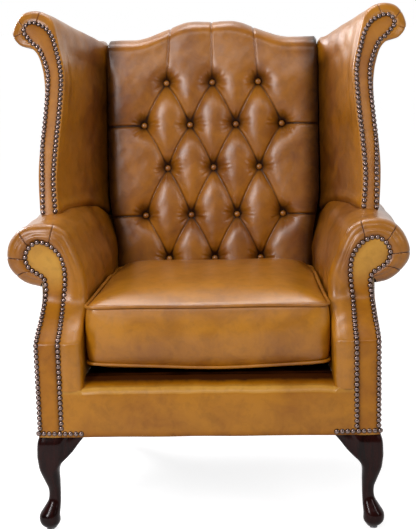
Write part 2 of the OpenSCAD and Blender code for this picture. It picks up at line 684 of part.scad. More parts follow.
module button() {
    r = button_d / 2;
    lift = 1.1 * r;
    shank = r / 6;
    rotate([90, 0, 0]) rotate_extrude() polygon(concat(
        [[0, 2 * gap], [shank, 6 * gap], [r, lift], [r, lift + r / 5]],
        [for (k = [1 : 6]) [r * cos(15 * k), lift + r / 5 + r * 0.45 * sin(15 * k)]]
    ));
}

// The chair's two ends: a front foot, and the crest's roll or the top of a wing
crest_mid_v = (back_v - puff_h / 2) / 2;
crest_half_d = (back_v + puff_h / 2) / 2;
front_end_u = (half_w + knee_proud - foot_d / 2 - post_in_x) * sin(side_turn_deg)
    - knee_proud * cos(side_turn_deg);
crest_end_u = seat_d + crest_mid_v * cos(back_rake_deg) + (back_h - crest_roll_h) * sin(back_rake_deg)
    + norm([crest_half_d * cos(back_rake_deg), crest_roll_h * sin(back_rake_deg)]);
rear_end_u = max(crest_end_u, back_u(back_v, wing_z + wing_rear_h));

// The seat

seat_front_u = frame_in + rail_t;
front_rail_x = turned_x(post_in_x, frame_in + arm_post_d) - gap;
// Depth at which the deck ends, in front of the back's quilt
deck_end_u = seat_d - puff_h - button_sink;
function seat_half(u) = turned_x(wall_x, u) - 2 * gap;
module deck_outline(u0, u1) {
    polygon([[-seat_half(u0), u0], [seat_half(u0), u0], [seat_half(u1), u1], [-seat_half(u1), u1]]);
}
module rail_cover() {
    r = lip_h;
    front_x = arm_nails[0][0] - 2 * gap;
    arc = [for (k = [0 : 6]) [r - r * cos(15 * k), lip_z - r + r * sin(15 * k)]];
    inner = [for (k = [6 : -1 : 0]) [r - (r - leather_t) * cos(15 * k), lip_z - r + (r - leather_t) * sin(15 * k)]];
    roll_x = turned_x(post_in_x, seat_front_u) - 2 * gap;
    board_uz(concat(
        [[0, skirt_z], [0, lip_z - r]], arc, [[seat_front_u, lip_z], [seat_front_u, lip_z - leather_t]],
        inner, [[leather_t, skirt_z]]
    ), -roll_x, roll_x);
    for (s = [0, 1]) mirror([s, 0, 0])
        block([roll_x - leather_t, 0, skirt_z], [front_x, leather_t, lip_z]);
}
module deck_padding() {
    z0 = rail_top + wire_d + gap;
    translate([0, 0, z0]) linear_extrude(deck_pad_t) deck_outline(seat_front_u + gap, deck_end_u);
    x = front_rail_x - rail_t / 2;
    r = lip_h - frame_in;
    board_uz(concat(
        [for (k = [0 : 6]) [lip_h - r * cos(15 * k), rail_top + r * sin(15 * k)]],
        [[seat_front_u, rail_top + r], [seat_front_u, rail_top]]
    ), -x, x);
}
module deck_leather() {
    z0 = deck_z - leather_t;
    translate([0, 0, z0]) linear_extrude(leather_t) deck_outline(seat_front_u - leather_t, deck_end_u);
    x = seat_half(seat_front_u) - 2 * leather_t;
    block([-x, seat_front_u - leather_t, lip_z + gap], [x, seat_front_u, deck_z]);
}
spring_x_shares = [-1.5, -0.5, 0.5, 1.5];
spring_pitch = 100;
spring_r = 20;
spring_half = 12;
wave_steps = 4;
// Wire in flat waves from the front rail to the back rail
module wave_springs() {
    u1 = back_u(frame_v - gap, rail_top) - gap - wire_d / 2;
    u0 = seat_front_u + gap + wire_d / 2;
    count = floor((u1 - u0) / (2 * spring_r));
    r = (u1 - u0) / count / 2;
    path = concat(
        [[-spring_half, 0]],
        [
            for (i = [0 : count - 1], k = [0 : wave_steps])
                let (q = 180 * k / wave_steps)
                [(i % 2 == 0 ? 1 : -1) * (spring_half + r * sin(q)), (2 * i + 1) * r - r * cos(q)]
        ],
        [[(count % 2 == 0 ? 1 : -1) * spring_half, 2 * count * r]]
    );
    sides = [for (d = [wire_d / 2, -wire_d / 2]) [for (i = [0 : len(path) - 1]) inset(path, i, d)]];
    for (k = spring_x_shares) translate([k * spring_pitch, u0, rail_top])
        linear_extrude(wire_d) polygon(concat(sides[0], flip(sides[1])));
}
clip_w = 18;
clip_h = 14;
module clips() {
    u1 = back_u(frame_v - gap, rail_top - clip_h) - gap;
    for (k = spring_x_shares) translate([k * spring_pitch, 0, 0]) {
        block([-clip_w / 2, seat_front_u, rail_top - gap - clip_h],
            [clip_w / 2, seat_front_u + clip_h, rail_top - gap]);
        block([-clip_w / 2, u1 - clip_h, rail_top - gap - clip_h], [clip_w / 2, u1, rail_top - gap]);
    }
}
module corner_block_front() {
    u = frame_in + arm_post_d + gap;
    x = post_out_x - rail_t - gap;
    l = 2 * rail_t + rail_t / 4;
    translate([0, 0, rail_z + leather_t]) linear_extrude(rail_h - 4 * leather_t)
        polygon([[x, u], [x, u + l], [x - l, u]]);
}
module corner_block_rear() {
    x = post_out_x - rail_t - gap;
    u = side_u(back_u(frame_v - gap, rail_z + leather_t), x) - gap - leather_t;
    l = 2 * rail_t;
    translate([0, 0, rail_z + leather_t]) linear_extrude(rail_h - 4 * leather_t)
        polygon([[x, u], [x - l, u], [x, u - l]]);
}
module bottom_cloth() {
    leg_x = half_w - knee_d - ear_l - 3 * leather_t;
    leg_u = knee_d + ear_l + 4 * leather_t;
    u1 = rear_leg_u - rear_leg_w / 2 - 2 * leather_t;
    u2 = back_u(frame_v, rail_z);
    x1 = turned_x(post_out_x, leg_u) - leather_t;
    x2 = turned_x(post_out_x, u1) - leather_t;
    x3 = rear_leg_x - rear_leg_w / 2 - 2 * leather_t;
    t = leather_t / 2;
    translate([0, 0, rail_z - gap - t]) linear_extrude(t) polygon([
        [-leg_x, 2 * leather_t], [leg_x, 2 * leather_t], [leg_x, leg_u], [x1, leg_u], [x2, u1],
        [x3, u1], [x3, u2], [-x3, u2], [-x3, u1], [-x2, u1], [-x1, leg_u], [-leg_x, leg_u]
    ]);
}

// The loose seat cushion

cushion_z = deck_z + gap;
low_welt_z = cushion_z + 1.32 * cushion_crown;
top_welt_z = low_welt_z + cushion_h;
welt_in = welt_d / 2 + gap;
cover_in = 2 * welt_in + gap;
cushion_mid_u = (cushion_front_u + deck_end_u) / 2;
corner_steps = 4;
side_steps = 5;
// The cushion's rear leans with the back
function cushion_rear_u(z) = deck_end_u - gap + (z - cushion_z) * tan(back_rake_deg);
// A ring round the cushion at height z, moved in by e and shrunk to a share s about its middle
function cushion_ring(z, e, s) =
    let (
        r = cushion_r - e,
        uf = cushion_front_u + e + r,
        ur = cushion_rear_u(z) - e - r,
        xf = seat_half(uf) - gap - e - r,
        xr = seat_half(ur) - gap - e - r,
        corners = [[-xf, uf, 180], [xf, uf, 270], [xr, ur, 0], [-xr, ur, 90]]
    ) [
        for (c = [0 : 3]) let (a = corners[c], b = corners[(c + 1) % 4], turn = a[2])
            each concat(
                [for (k = [0 : corner_steps]) let (q = turn + 90 * k / corner_steps)
                    cushion_shrink([a[0] + r * cos(q), a[1] + r * sin(q)], z, s)],
                [for (k = [1 : side_steps - 1])
                    let (
                        q = turn + 90,
                        p = mix([a[0], a[1]], [b[0], b[1]], k / side_steps),
                        out = r - cushion_draw * sin(180 * k / side_steps)
                    ) cushion_shrink([p[0] + out * cos(q), p[1] + out * sin(q)], z, s)]
            )
    ];
function cushion_shrink(p, z, s) = [p[0] * s, cushion_mid_u + (p[1] - cushion_mid_u) * s, z];
function crown_z(s) = top_welt_z + cushion_crown * (1 - pow(s, 3));
function belly_z(s) = cushion_z + (low_welt_z - cushion_z) * pow(s, 8);
border_lift = 8;
// Rings from the vent under the cushion to the middle of its crown, t inside the cover's face
function cushion_rings(t) = concat(
    [for (s = [0.03, 0.45, 0.8, 0.93]) cushion_ring(belly_z(s) + t, cover_in + t, s)],
    [
        cushion_ring(low_welt_z, cover_in + t, 1),
        cushion_ring(low_welt_z + border_lift, welt_in - gap + t, 1),
        cushion_ring((low_welt_z + top_welt_z) / 2, gap + t, 1),
        cushion_ring(top_welt_z - border_lift, welt_in - gap + t, 1),
        cushion_ring(top_welt_z, cover_in + t, 1)
    ],
    [for (s = [0.93, 0.75, 0.45, 0.03]) cushion_ring(crown_z(s) - t, cover_in + t, s)]
);
module cushion_cover() { loft(concat(flip(cushion_rings(leather_t)), cushion_rings(0))); }
module cushion_core() {
    r = cushion_rings(frame_in);
    loft([for (i = [1, 3, 4, 5, 7, 8, 9, 11]) r[i]]);
}
module welt(z) {
    path = cushion_ring(z, welt_in, 1);
    n = len(path);
    sides = 5;
    ring = [
        for (i = [0 : n - 1])
            let (t = unit(path[(i + 1) % n] - path[(i + n - 1) % n]), out = [-t[1], t[0], 0])
            [for (k = [0 : sides - 1])
                path[i] + (out * cos(360 * k / sides) + [0, 0, 1] * sin(360 * k / sides)) * welt_d / 2]
    ];
    polyhedron(
        points = [for (r = ring) each r],
        faces = [
            for (i = [0 : n - 1], j = [0 : sides - 1])
                let (a = i * sides + j, b = i * sides + (j + 1) % sides,
                    c = ((i + 1) % n) * sides + (j + 1) % sides, d = ((i + 1) % n) * sides + j)
                each [[a, c, b], [a, d, c]]
        ]
    );
}

// The legs

// Height, stand-off, widths as shares of knee, ankle and foot, ear, and how square the section is
leg_shares = [
    [0.04, -0.14, 0, 0, 0.72, 0, 2], [0.087, -1, 0, 0, 1, 0, 2.2], [0.16, -1, 0, 0, 1, 0, 2.2],
    [0.233, 0.29, 0, 0, 0.81, 0, 2.2], [0.31, 1.57, 0, 1.02, 0, 0, 2.2], [0.413, 1.71, 0, 1, 0, 0, 2.2],
    [0.51, 0.86, 0, 1.26, 0, 0, 2.5], [0.631, -0.29, 0.645, 0, 0, 0, 3], [0.704, -0.64, 0.78, 0, 0, 0, 3.5],
    [0.777, -0.86, 0.9, 0, 0, 0.25, 4], [0.835, -0.79, 0.93, 0, 0, 0.5, 4.5],
    [0.885, -0.72, 0.95, 0, 0, 0.68, 5], [0.937, -0.57, 0.97, 0, 0, 0.85, 5], [0.997, 0, 1, 0, 0, 1, 6]
];
leg_points = 16;
// Section of a front leg: square-cornered by power q, with an ear along each rail
function leg_ring(z, off, w, ear, q) = [
    for (k = [0 : leg_points - 1])
        let (
            a = -360 * k / leg_points, c = cos(a), s = sin(a), h = w / 2,
            x = h * sign(c) * pow(abs(c), 2 / q), y = h * sign(s) * pow(abs(s), 2 / q)
        ) [
            half_w - off - h - x - (c > 0.9 ? ear : 0),
            off + h + y + (s > 0.9 ? ear : 0),
            z
        ]
];
module front_leg() {
    foot = leg_ring(glide_t + gap, knee_proud, foot_d * 0.45, 0, 2);
    body = [
        for (r = leg_shares)
            leg_ring(r[0] * skirt_z, r[1] * knee_proud, r[2] * knee_d + r[3] * ankle_d + r[4] * foot_d,
                r[5] * ear_l, r[6])
    ];
    top = [
        for (z = [skirt_z - gap, rail_z - gap]) leg_ring(z, frame_in + gap, knee_d - 2 * frame_in, ear_l, 6)
    ];
    loft(concat([foot], body, top));
}
rear_leg_u = back_u(frame_back_v, skirt_z) - 2 * gap - rear_leg_w / 2;
rear_leg_x = post_x + post_foot_w / 2;
function rear_ring(t) =
    let (
        h = rear_leg_w * mix(0.32, 0.5, t), c = h * 0.7, z = mix(glide_t + gap, rail_z - gap, t),
        u = rear_leg_u + rear_leg_rake * pow(1 - t, 1.5)
    ) [for (p = [[h, c], [c, h], [-c, h], [-h, c], [-h, -c], [-c, -h], [c, -h], [h, -c]])
        [rear_leg_x + p[0], u + p[1], z]];
module rear_leg() { loft([for (k = [0 : 6]) rear_ring(k / 6)]); }
glide_d = 16;
module glide() { cylinder(d = glide_d, h = glide_t); }
front_foot = [half_w + knee_proud - foot_d / 2, foot_d / 2 - knee_proud];

// Nodes

module front_rail() {
    color(beech) stand() block([-front_rail_x, frame_in, rail_z], [front_rail_x, seat_front_u, rail_top]);
}
module back_rail() { color(beech) back_frame() rear_rail(); }
module side_rail_left() { color(beech) left_side() side_rail(); }
module side_rail_right() { color(beech) right_side() side_rail(); }
module corner_blocks() {
    color(beech) {
        left_side() { corner_block_front(); corner_block_rear(); }
        right_side() { corner_block_front(); corner_block_rear(); }
    }
}
module arm_post_left() { color(beech) left_side() arm_post(); }
module arm_post_right() { color(beech) right_side() arm_post(); }
module arm_rail_left() { color(beech) left_side() arm_rail(); }
module arm_rail_right() { color(beech) right_side() arm_rail(); }
module arm_tack_rail_left() { color(beech) left_side() arm_tack_rail(); }
module arm_tack_rail_right() { color(beech) right_side() arm_tack_rail(); }
module back_post_left() { color(beech) mirror([1, 0, 0]) back_frame() back_post(); }
module back_post_right() { color(beech) back_frame() back_post(); }
module crest_rail() { color(beech) back_frame() crest_board(); }
module back_tack_rail() { color(beech) back_frame() tack_rail(); }
module wing_post_left() { color(beech) left_side() wing_post(); }
module wing_post_right() { color(beech) right_side() wing_post(); }
module wing_rail_left() { color(beech) left_side() wing_rail(); }
module wing_rail_right() { color(beech) right_side() wing_rail(); }
module seat_springs() { color(steel) stand() wave_springs(); }
module spring_clips() { color(steel) stand() clips(); }
module back_webbing() { color(cloth) back_frame() webbing(); }
module deck_pad() { color(foam) stand() deck_padding(); }
module deck_cover() { color(leather) stand() deck_leather(); }
module front_rail_cover() { color(leather) stand() rail_cover(); }
module inside_back_quilt() { color(leather) back_frame() quilt(); }
module inside_back_foam() { color(foam) back_frame() back_slab(); }
module back_buttons() {
    color(leather) back_frame() for (b = buttons) translate([b[0], 0, b[1]]) button();
}
module crest_roll() { color(leather) back_frame() crest(); }
module outside_back() { color(leather) back_frame() back_panel(); }
module inside_arm_pad_left() { color(foam) left_side() arm_pad(); }
module inside_arm_pad_right() { color(foam) right_side() arm_pad(); }
module inside_arm_leather_left() { color(leather) left_side() arm_leather(); }
module inside_arm_leather_right() { color(leather) right_side() arm_leather(); }
module outside_arm_left() { color(leather) left_side() outside_arm(); }
module outside_arm_right() { color(leather) right_side() outside_arm(); }
module arm_facing_left() { color(leather_light) left_side() arm_facing(); }
module arm_facing_right() { color(leather_light) right_side() arm_facing(); }
module inside_wing_pad_left() { color(foam) left_side() wing_pad(); }
module inside_wing_pad_right() { color(foam) right_side() wing_pad(); }
module inside_wing_leather_left() { color(leather) left_side() wing_leather(); }
module inside_wing_leather_right() { color(leather) right_side() wing_leather(); }
module outside_wing_left() { color(leather) left_side() wing_outside(); }
module outside_wing_right() { color(leather) right_side() wing_outside(); }
module wing_facing_left() { color(leather_light) left_side() wing_facing(); }
module wing_facing_right() { color(leather_light) right_side() wing_facing(); }
module seat_cushion_cover() { color(leather) stand() cushion_cover(); }
module seat_cushion_core() { color(foam) stand() cushion_core(); }
module cushion_welts() { color(leather) stand() for (z = [low_welt_z, top_welt_z]) welt(z); }
module front_leg_left() { color(mahogany) left_side() front_leg(); }
module front_leg_right() { color(mahogany) right_side() front_leg(); }
module rear_leg_left() { color(mahogany) mirror([1, 0, 0]) stand() rear_leg(); }
module rear_leg_right() { color(mahogany) stand() rear_leg(); }
module leg_glides() {
    color(steel) {
        left_side() translate([front_foot[0], front_foot[1], 0]) glide();
        right_side() translate([front_foot[0], front_foot[1], 0]) glide();
        stand() for (s = [-1, 1]) translate([s * rear_leg_x, rear_leg_u + rear_leg_rake, 0]) glide();
    }
}
module dust_cover() { color(cloth) stand() bottom_cloth(); }

front_rail();
back_rail();
side_rail_left();
side_rail_right();
corner_blocks();
arm_post_left();
arm_post_right();
arm_rail_left();
arm_rail_right();
arm_tack_rail_left();
arm_tack_rail_right();
back_post_left();
back_post_right();
crest_rail();
back_tack_rail();
wing_post_left();
wing_post_right();
wing_rail_left();
wing_rail_right();
seat_springs();
spring_clips();
back_webbing();
deck_pad();
deck_cover();
front_rail_cover();
inside_back_quilt();
inside_back_foam();
back_buttons();
crest_roll();
outside_back();
inside_arm_pad_left();
inside_arm_pad_right();
inside_arm_leather_left();
inside_arm_leather_right();
outside_arm_left();
outside_arm_right();
arm_facing_left();
arm_facing_right();
inside_wing_pad_left();
inside_wing_pad_right();
inside_wing_leather_left();
inside_wing_leather_right();
outside_wing_left();
outside_wing_right();
wing_facing_left();
wing_facing_right();
seat_cushion_cover();
seat_cushion_core();
cushion_welts();
front_leg_left();
front_leg_right();
rear_leg_left();
rear_leg_right();
leg_glides();
dust_cover();
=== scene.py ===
import math
import bmesh
import bpy
import numpy as np
from mathutils import Matrix, Vector


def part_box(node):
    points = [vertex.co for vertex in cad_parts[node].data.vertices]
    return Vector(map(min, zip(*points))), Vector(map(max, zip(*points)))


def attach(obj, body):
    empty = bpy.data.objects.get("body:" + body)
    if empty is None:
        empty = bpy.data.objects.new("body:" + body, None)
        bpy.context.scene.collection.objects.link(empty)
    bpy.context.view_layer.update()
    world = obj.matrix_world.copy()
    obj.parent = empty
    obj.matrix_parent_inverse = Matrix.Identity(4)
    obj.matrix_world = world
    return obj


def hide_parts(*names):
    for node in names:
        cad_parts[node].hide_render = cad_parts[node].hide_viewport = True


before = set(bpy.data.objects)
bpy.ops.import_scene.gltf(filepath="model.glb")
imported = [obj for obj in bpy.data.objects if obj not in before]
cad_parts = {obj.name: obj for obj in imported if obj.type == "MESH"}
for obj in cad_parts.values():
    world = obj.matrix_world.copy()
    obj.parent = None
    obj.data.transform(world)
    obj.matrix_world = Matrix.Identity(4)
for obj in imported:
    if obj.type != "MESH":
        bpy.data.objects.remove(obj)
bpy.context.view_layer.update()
print("frame loaded")

# Shapes are worked out in millimetres in the chair's own terms: x across from the middle, u back
# from the front of the base, z up from the floor.
mm = 0.001
sideTurn = math.radians(2.7)
rake = math.radians(10)
lean = math.radians(24.2)
baseHalf = 353.0
skirtZ = 206.0
lipZ = 308.0
armZ = 310.0
creaseZ = 405.0
neckZ = 470.0
deckZ = 324.6
seatD = 501.0
wallX = 257.5
turnX = 276.1
armH = 322.0
neckW = 95.5
overhang = 72.5
setback = 100.0
frameV = 58.4
backV = 105.7
standShift = 2.3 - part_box("front_rail")[0][1] / mm
sides = ((1, "right"), (-1, "left"))


# Where a point of the chair is in the shared frame, in metres
def placed(x, u, z):
    x, u, z = np.broadcast_arrays(x, u, z)
    return np.stack([x * mm, (u - standShift) * mm, z * mm], axis=-1)


# A side is drawn straight and turned in about the arm post's corner; side is 1 at +X and -1 at -X
def turned(x, u, z, side):
    x, u, z = np.broadcast_arrays(x, u, z)
    c, s = math.cos(sideTurn), math.sin(sideTurn)
    return placed(side * (turnX + (x - turnX) * c - u * s), (x - turnX) * s + u * c, z)


# Depth of the plane v behind the button line at height z, and the same in a side's own terms
def backU(v, z):
    return seatD + v / math.cos(rake) + (z - deckZ) * math.tan(rake)


def sideU(u, x):
    return (u - (x - turnX) * math.sin(sideTurn)) / math.cos(sideTurn)


# A point of the back: x across, v behind the button line, w up the rake from the deck
def raked(x, v, w):
    return placed(
        x,
        seatD + v * math.cos(rake) + w * math.sin(rake),
        deckZ + w * math.cos(rake) - v * math.sin(rake),
    )


def ease(t):
    t = np.clip(t, 0, 1)
    return t * t * (3 - 2 * t)


def bell(d, r):
    return np.exp(-((d / r) ** 2))


# Angles round a full turn
def circle(count):
    return np.linspace(0, 2 * math.pi, count, endpoint=False)


# A smooth curve through given points, read at index t: cubic spans whose end slopes are half
# the step between the neighbours
def smooth(points, t):
    p = np.asarray(points, float)
    p = np.vstack([2 * p[0] - p[1], p, 2 * p[-1] - p[-2]])
    i = np.clip(np.floor(t).astype(int), 0, len(p) - 4)
    f = (t - i)[..., None]
    a, b, c, d = p[i], p[i + 1], p[i + 2], p[i + 3]
    return 0.5 * (
        2 * b + (c - a) * f + (2 * a - 5 * b + 4 * c - d) * f**2 + (3 * b - a - 3 * c + d) * f**3
    )


def runOf(p):
    return np.concatenate([[0], np.cumsum(np.linalg.norm(np.diff(p, axis=0), axis=1))])


# Indices that step evenly along such a curve, with the length run at each
def even(points, count, lo=0.0, hi=None):
    hi = len(points) - 1 if hi is None else hi
    t = np.linspace(lo, hi, 3000)
    run = runOf(smooth(points, t))
    at = np.linspace(0, run[-1], count)
    return np.interp(at, run, t), at


# Unit vectors to the right of a flat curve
def rightOf(p):
    g = np.gradient(p, axis=0)
    g /= np.linalg.norm(g, axis=1)[:, None] + 1e-9
    return np.stack([g[:, 1], -g[:, 0]], axis=1)


# Slow waves without a pattern: a sum of sines along fixed directions, about 1 high
def waves(p, length, seed):
    rng = np.random.default_rng(seed)
    total = 0
    for _ in range(7):
        k = rng.normal(size=3)
        k *= 2 * math.pi / (np.linalg.norm(k) * length * mm * rng.uniform(0.7, 1.5))
        total = total + np.sin(p @ k + rng.uniform(0, 6.28))
    return total / 2.6


# Unit normals of a grid of points: its rows' direction crossed with its columns'
def normals(p):
    a, b = np.gradient(p, axis=0), np.gradient(p, axis=1)
    n = np.cross(a, b)
    return n / (np.linalg.norm(n, axis=-1)[..., None] + 1e-12)


def gridFaces(m, n, loopM=False, loopN=False):
    i = np.arange(m if loopM else m - 1)[:, None]
    j = np.arange(n if loopN else n - 1)[None, :]
    a = i * n + j
    b = i * n + (j + 1) % n
    c = ((i + 1) % m) * n + (j + 1) % n
    d = ((i + 1) % m) * n + j
    return np.stack([a, b, c, d], axis=-1).reshape(-1, 4)


# A mesh object from one or more grids, each (points, rubbed paleness and painted light, loopM, loopN,
# flipped)
def makePiece(name, grids, material, body="chair"):
    verts, faces, allWearAndPaintedLight, base = [], [], [], 0
    for points, wearAndPaintedLight, loopM, loopN, flipped in grids:
        m, n = points.shape[:2]
        f = gridFaces(m, n, loopM, loopN)
        if flipped:
            f = f[:, ::-1]
        faces.append(f + base)
        verts.append(points.reshape(-1, 3))
        allWearAndPaintedLight.append(np.broadcast_to(wearAndPaintedLight, (m, n)).reshape(-1))
        base += m * n
    verts, faces, allWearAndPaintedLight = np.concatenate(verts), np.concatenate(faces), np.concatenate(allWearAndPaintedLight)
    mesh = bpy.data.meshes.new(name)
    mesh.from_pydata(verts.tolist(), [], faces.tolist())
    layer = mesh.attributes.new("wearAndPaintedLight", "FLOAT", "POINT")
    layer.data.foreach_set("value", allWearAndPaintedLight.astype(np.float32))
    work = bmesh.new()
    work.from_mesh(mesh)
    bmesh.ops.remove_doubles(work, verts=work.verts, dist=2e-5)
    bmesh.ops.dissolve_degenerate(work, edges=work.edges, dist=1e-5)
    work.to_mesh(mesh)
    work.free()
    mesh.polygons.foreach_set("use_smooth", np.ones(len(mesh.polygons), bool))
    mesh.materials.append(material)
    mesh.update()
    obj = bpy.data.objects.new(name, mesh)
    bpy.context.scene.collection.objects.link(obj)
    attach(obj, body)
    return obj


# Materials

def linear(r, g, b):
    out = [((c / 255 + 0.055) / 1.055) ** 2.4 if c > 10 else c / 255 / 12.92 for c in (r, g, b)]
    return (*out, 1)


# Sets sockets by name or number, each to a value or to another node's output
def feed(tree, target, sockets):
    for key, value in sockets.items():
        if isinstance(value, bpy.types.NodeSocket):
            tree.links.new(value, target.inputs[key])
        else:
            target.inputs[key].default_value = value


# A node with its settings and sockets, where an underscore stands for a space
def node(tree, kind, **settings):
    made = tree.nodes.new(kind)
    for key, value in settings.items():
        if hasattr(made, key):
            setattr(made, key, value)
        else:
            feed(tree, made, {key.replace("_", " "): value})
    return made


def mathNode(tree, op, a, b=None, clamp=False):
    made = node(tree, "ShaderNodeMath", operation=op, use_clamp=clamp)
    feed(tree, made, {0: a} if b is None else {0: a, 1: b})
    return made.outputs[0]


def plus(tree, a, b, clamp=False):
    return mathNode(tree, "ADD", a, b, clamp)


def minus(tree, a, b, clamp=False):
    return mathNode(tree, "SUBTRACT", a, b, clamp)


def times(tree, a, b):
    return mathNode(tree, "MULTIPLY", a, b)


# A value times share, plus base
def scaled(tree, value, share, base):
    return plus(tree, times(tree, value, share), base)


def mixNode(tree, factor, a, b):
    return node(tree, "ShaderNodeMix", data_type="RGBA", Factor=factor, A=a, B=b).outputs["Result"]


def ramp(tree, value, lo, hi):
    return node(tree, "ShaderNodeMapRange", From_Min=lo, From_Max=hi, Value=value).outputs["Result"]


def noise(tree, at, scale, detail=4, rough=0.55, distort=0.0):
    sockets = {"Vector": at, "Scale": scale, "Detail": detail, "Roughness": rough, "Distortion": distort}
    return node(tree, "ShaderNodeTexNoise", **sockets).outputs["Fac"]


def bumped(tree, height, strength, distance):
    bump = node(tree, "ShaderNodeBump", Height=height, Strength=strength, Distance=distance)
    return bump.outputs["Normal"]


def objectAt(tree):
    return tree.nodes.new("ShaderNodeTexCoord").outputs["Object"]


def wearAndPaintedLightOf(tree):
    return node(tree, "ShaderNodeAttribute", attribute_name="wearAndPaintedLight").outputs["Fac"]


def newMaterial(name):
    material = bpy.data.materials.new(name)
    material.use_nodes = True
    return material, material.node_tree, material.node_tree.nodes["Principled BSDF"]


# The hide's pattern, built once: clouds of lighter and darker dye, pores and fine creases. The value that
# each piece carries runs from 0, darkest, which is painted shade, over 1, plain, to 2, pale, which is
# partly rubbed paleness and partly painted highlight.
def hidePattern():
    group = bpy.data.node_groups.new("hidePattern", "ShaderNodeTree")
    face = group.interface
    for name in ("Pale", "Light", "Base", "Dark"):
        face.new_socket(name, in_out="INPUT", socket_type="NodeSocketColor")
    made = {"Color": "Color", "Roughness": "Float", "Shine": "Float", "Normal": "Vector"}
    for name, kind in made.items():
        face.new_socket(name, in_out="OUTPUT", socket_type="NodeSocket" + kind)
    take = group.nodes.new("NodeGroupInput").outputs
    at = objectAt(group)
    wearAndPaintedLight = wearAndPaintedLightOf(group)
    clouds = noise(group, at, 5.0, 3, 0.5, 0.4)
    smudge = noise(group, at, 17.0, 4, 0.6, 0.8)
    mottle = noise(group, at, 46.0, 5, 0.65, 0.4)
    fine = noise(group, at, 210.0, 3)
    tone = ramp(group, plus(group, times(group, clouds, 0.5), times(group, smudge, 0.5)), 0.38, 0.6)
    body = mixNode(group, tone, take["Base"], take["Light"])
    # Above 1 the colour goes towards Pale: rubbed paleness and painted highlight
    pale = minus(group, wearAndPaintedLight, 1.0, clamp=True)
    body = mixNode(group, times(group, pale, scaled(group, tone, 0.4, 0.6)), body, take["Pale"])
    dirt = times(group, ramp(group, mottle, 0.48, 0.8), 0.26)
    # Below 1 the colour goes towards Dark: painted shade
    low = minus(group, 1.0, wearAndPaintedLight, clamp=True)
    cells = node(group, "ShaderNodeTexVoronoi", feature="DISTANCE_TO_EDGE", Scale=430.0, Vector=at)
    pores = mathNode(group, "MINIMUM", cells.outputs["Distance"], 0.12)
    lines = mathNode(group, "ABSOLUTE", minus(group, noise(group, at, 30.0, 3, 0.5, 1.2), 0.5))
    creases = mathNode(group, "MINIMUM", lines, 0.05)
    height = plus(group, times(group, pores, 2.2), times(group, fine, 0.35))
    height = plus(group, height, times(group, creases, 5.0))
    height = plus(group, height, times(group, mottle, 2.5))
    feed(group, group.nodes.new("NodeGroupOutput"), {
        "Color": mixNode(group, plus(group, low, dirt, clamp=True), body, take["Dark"]),
        "Roughness": scaled(group, mottle, 0.2, 0.24),
        "Shine": scaled(group, low, -0.75, 1.0),
        "Normal": bumped(group, height, 0.34, 0.0006),
    })
    return group


hide = hidePattern()


# Leather from the pattern's four colours. Half of its gloss is a wax coat, which thins out with
# the painted shade, down to none in the pleats.
def leatherMaterial(name, gloss, pale, light, base, dark):
    material, tree, shader = newMaterial(name)
    pattern = node(tree, "ShaderNodeGroup", node_tree=hide)
    feed(tree, pattern, {"Pale": pale, "Light": light, "Base": base, "Dark": dark})
    made = pattern.outputs
    coat = times(tree, made["Shine"], gloss + 0.4 * gloss**2)
    feed(tree, shader, {
        "Base Color": made["Color"], "Roughness": made["Roughness"], "Normal": made["Normal"],
        "Specular IOR Level": 0.4 * gloss,
        "Coat Weight": minus(tree, coat, 0.8 * gloss, clamp=True), "Coat Roughness": 0.32,
    })
    return material


# Wood with grain along one axis: stretched noise that streaks between two browns
def woodMaterial(name, base, dark, along, roughness, coat):
    material, tree, shader = newMaterial(name)
    squeeze = node(tree, "ShaderNodeMapping", Vector=objectAt(tree), Scale=along)
    streaks = noise(tree, squeeze.outputs["Vector"], 60.0, 6, 0.6, 0.6)
    feed(tree, shader, {
        "Base Color": mixNode(tree, ramp(tree, streaks, 0.35, 0.65), dark, base),
        "Roughness": scaled(tree, streaks, 0.12, roughness),
        "Normal": bumped(tree, streaks, 0.12, 0.0004),
        "Specular IOR Level": 0.16, "Coat Weight": coat, "Coat Roughness": 0.06,
    })
    return material


# Plain-woven cloth: two crossed wave bands that set the colour and the bump
def clothMaterial(name, base, dark, scale):
    material, tree, shader = newMaterial(name)
    band = {"wave_type": "BANDS", "Vector": objectAt(tree), "Scale": scale, "Distortion": 0.4}
    warp, weft = (
        node(tree, "ShaderNodeTexWave", bands_direction=axis, **band).outputs["Fac"] for axis in ("X", "Y")
    )
    weave = times(tree, warp, weft)
    feed(tree, shader, {
        "Base Color": mixNode(tree, weave, dark, base), "Roughness": 0.9,
        "Normal": bumped(tree, weave, 0.3, 0.0005),
    })
    return material


# Metal with a patina: noise moves the colour between bright and dark and roughens the dark parts.
# A domed head also gets painted shade towards its rim, where the value it carries is 0.
def metalMaterial(name, bright, dark, roughness, domed=False):
    material, tree, shader = newMaterial(name)
    patina = ramp(tree, noise(tree, objectAt(tree), 300.0, 4), 0.35, 0.7)
    if domed:
        patina = times(tree, scaled(tree, patina, 0.3, 0.7), wearAndPaintedLightOf(tree))
    feed(tree, shader, {
        "Base Color": mixNode(tree, patina, dark, bright), "Metallic": 1.0,
        "Roughness": scaled(tree, patina, -0.12, roughness),
    })
    return material


leather = leatherMaterial(
    "leather", 1.0, linear(192, 126, 12), linear(164, 101, 10), linear(124, 67, 3), linear(34, 12, 1)
)
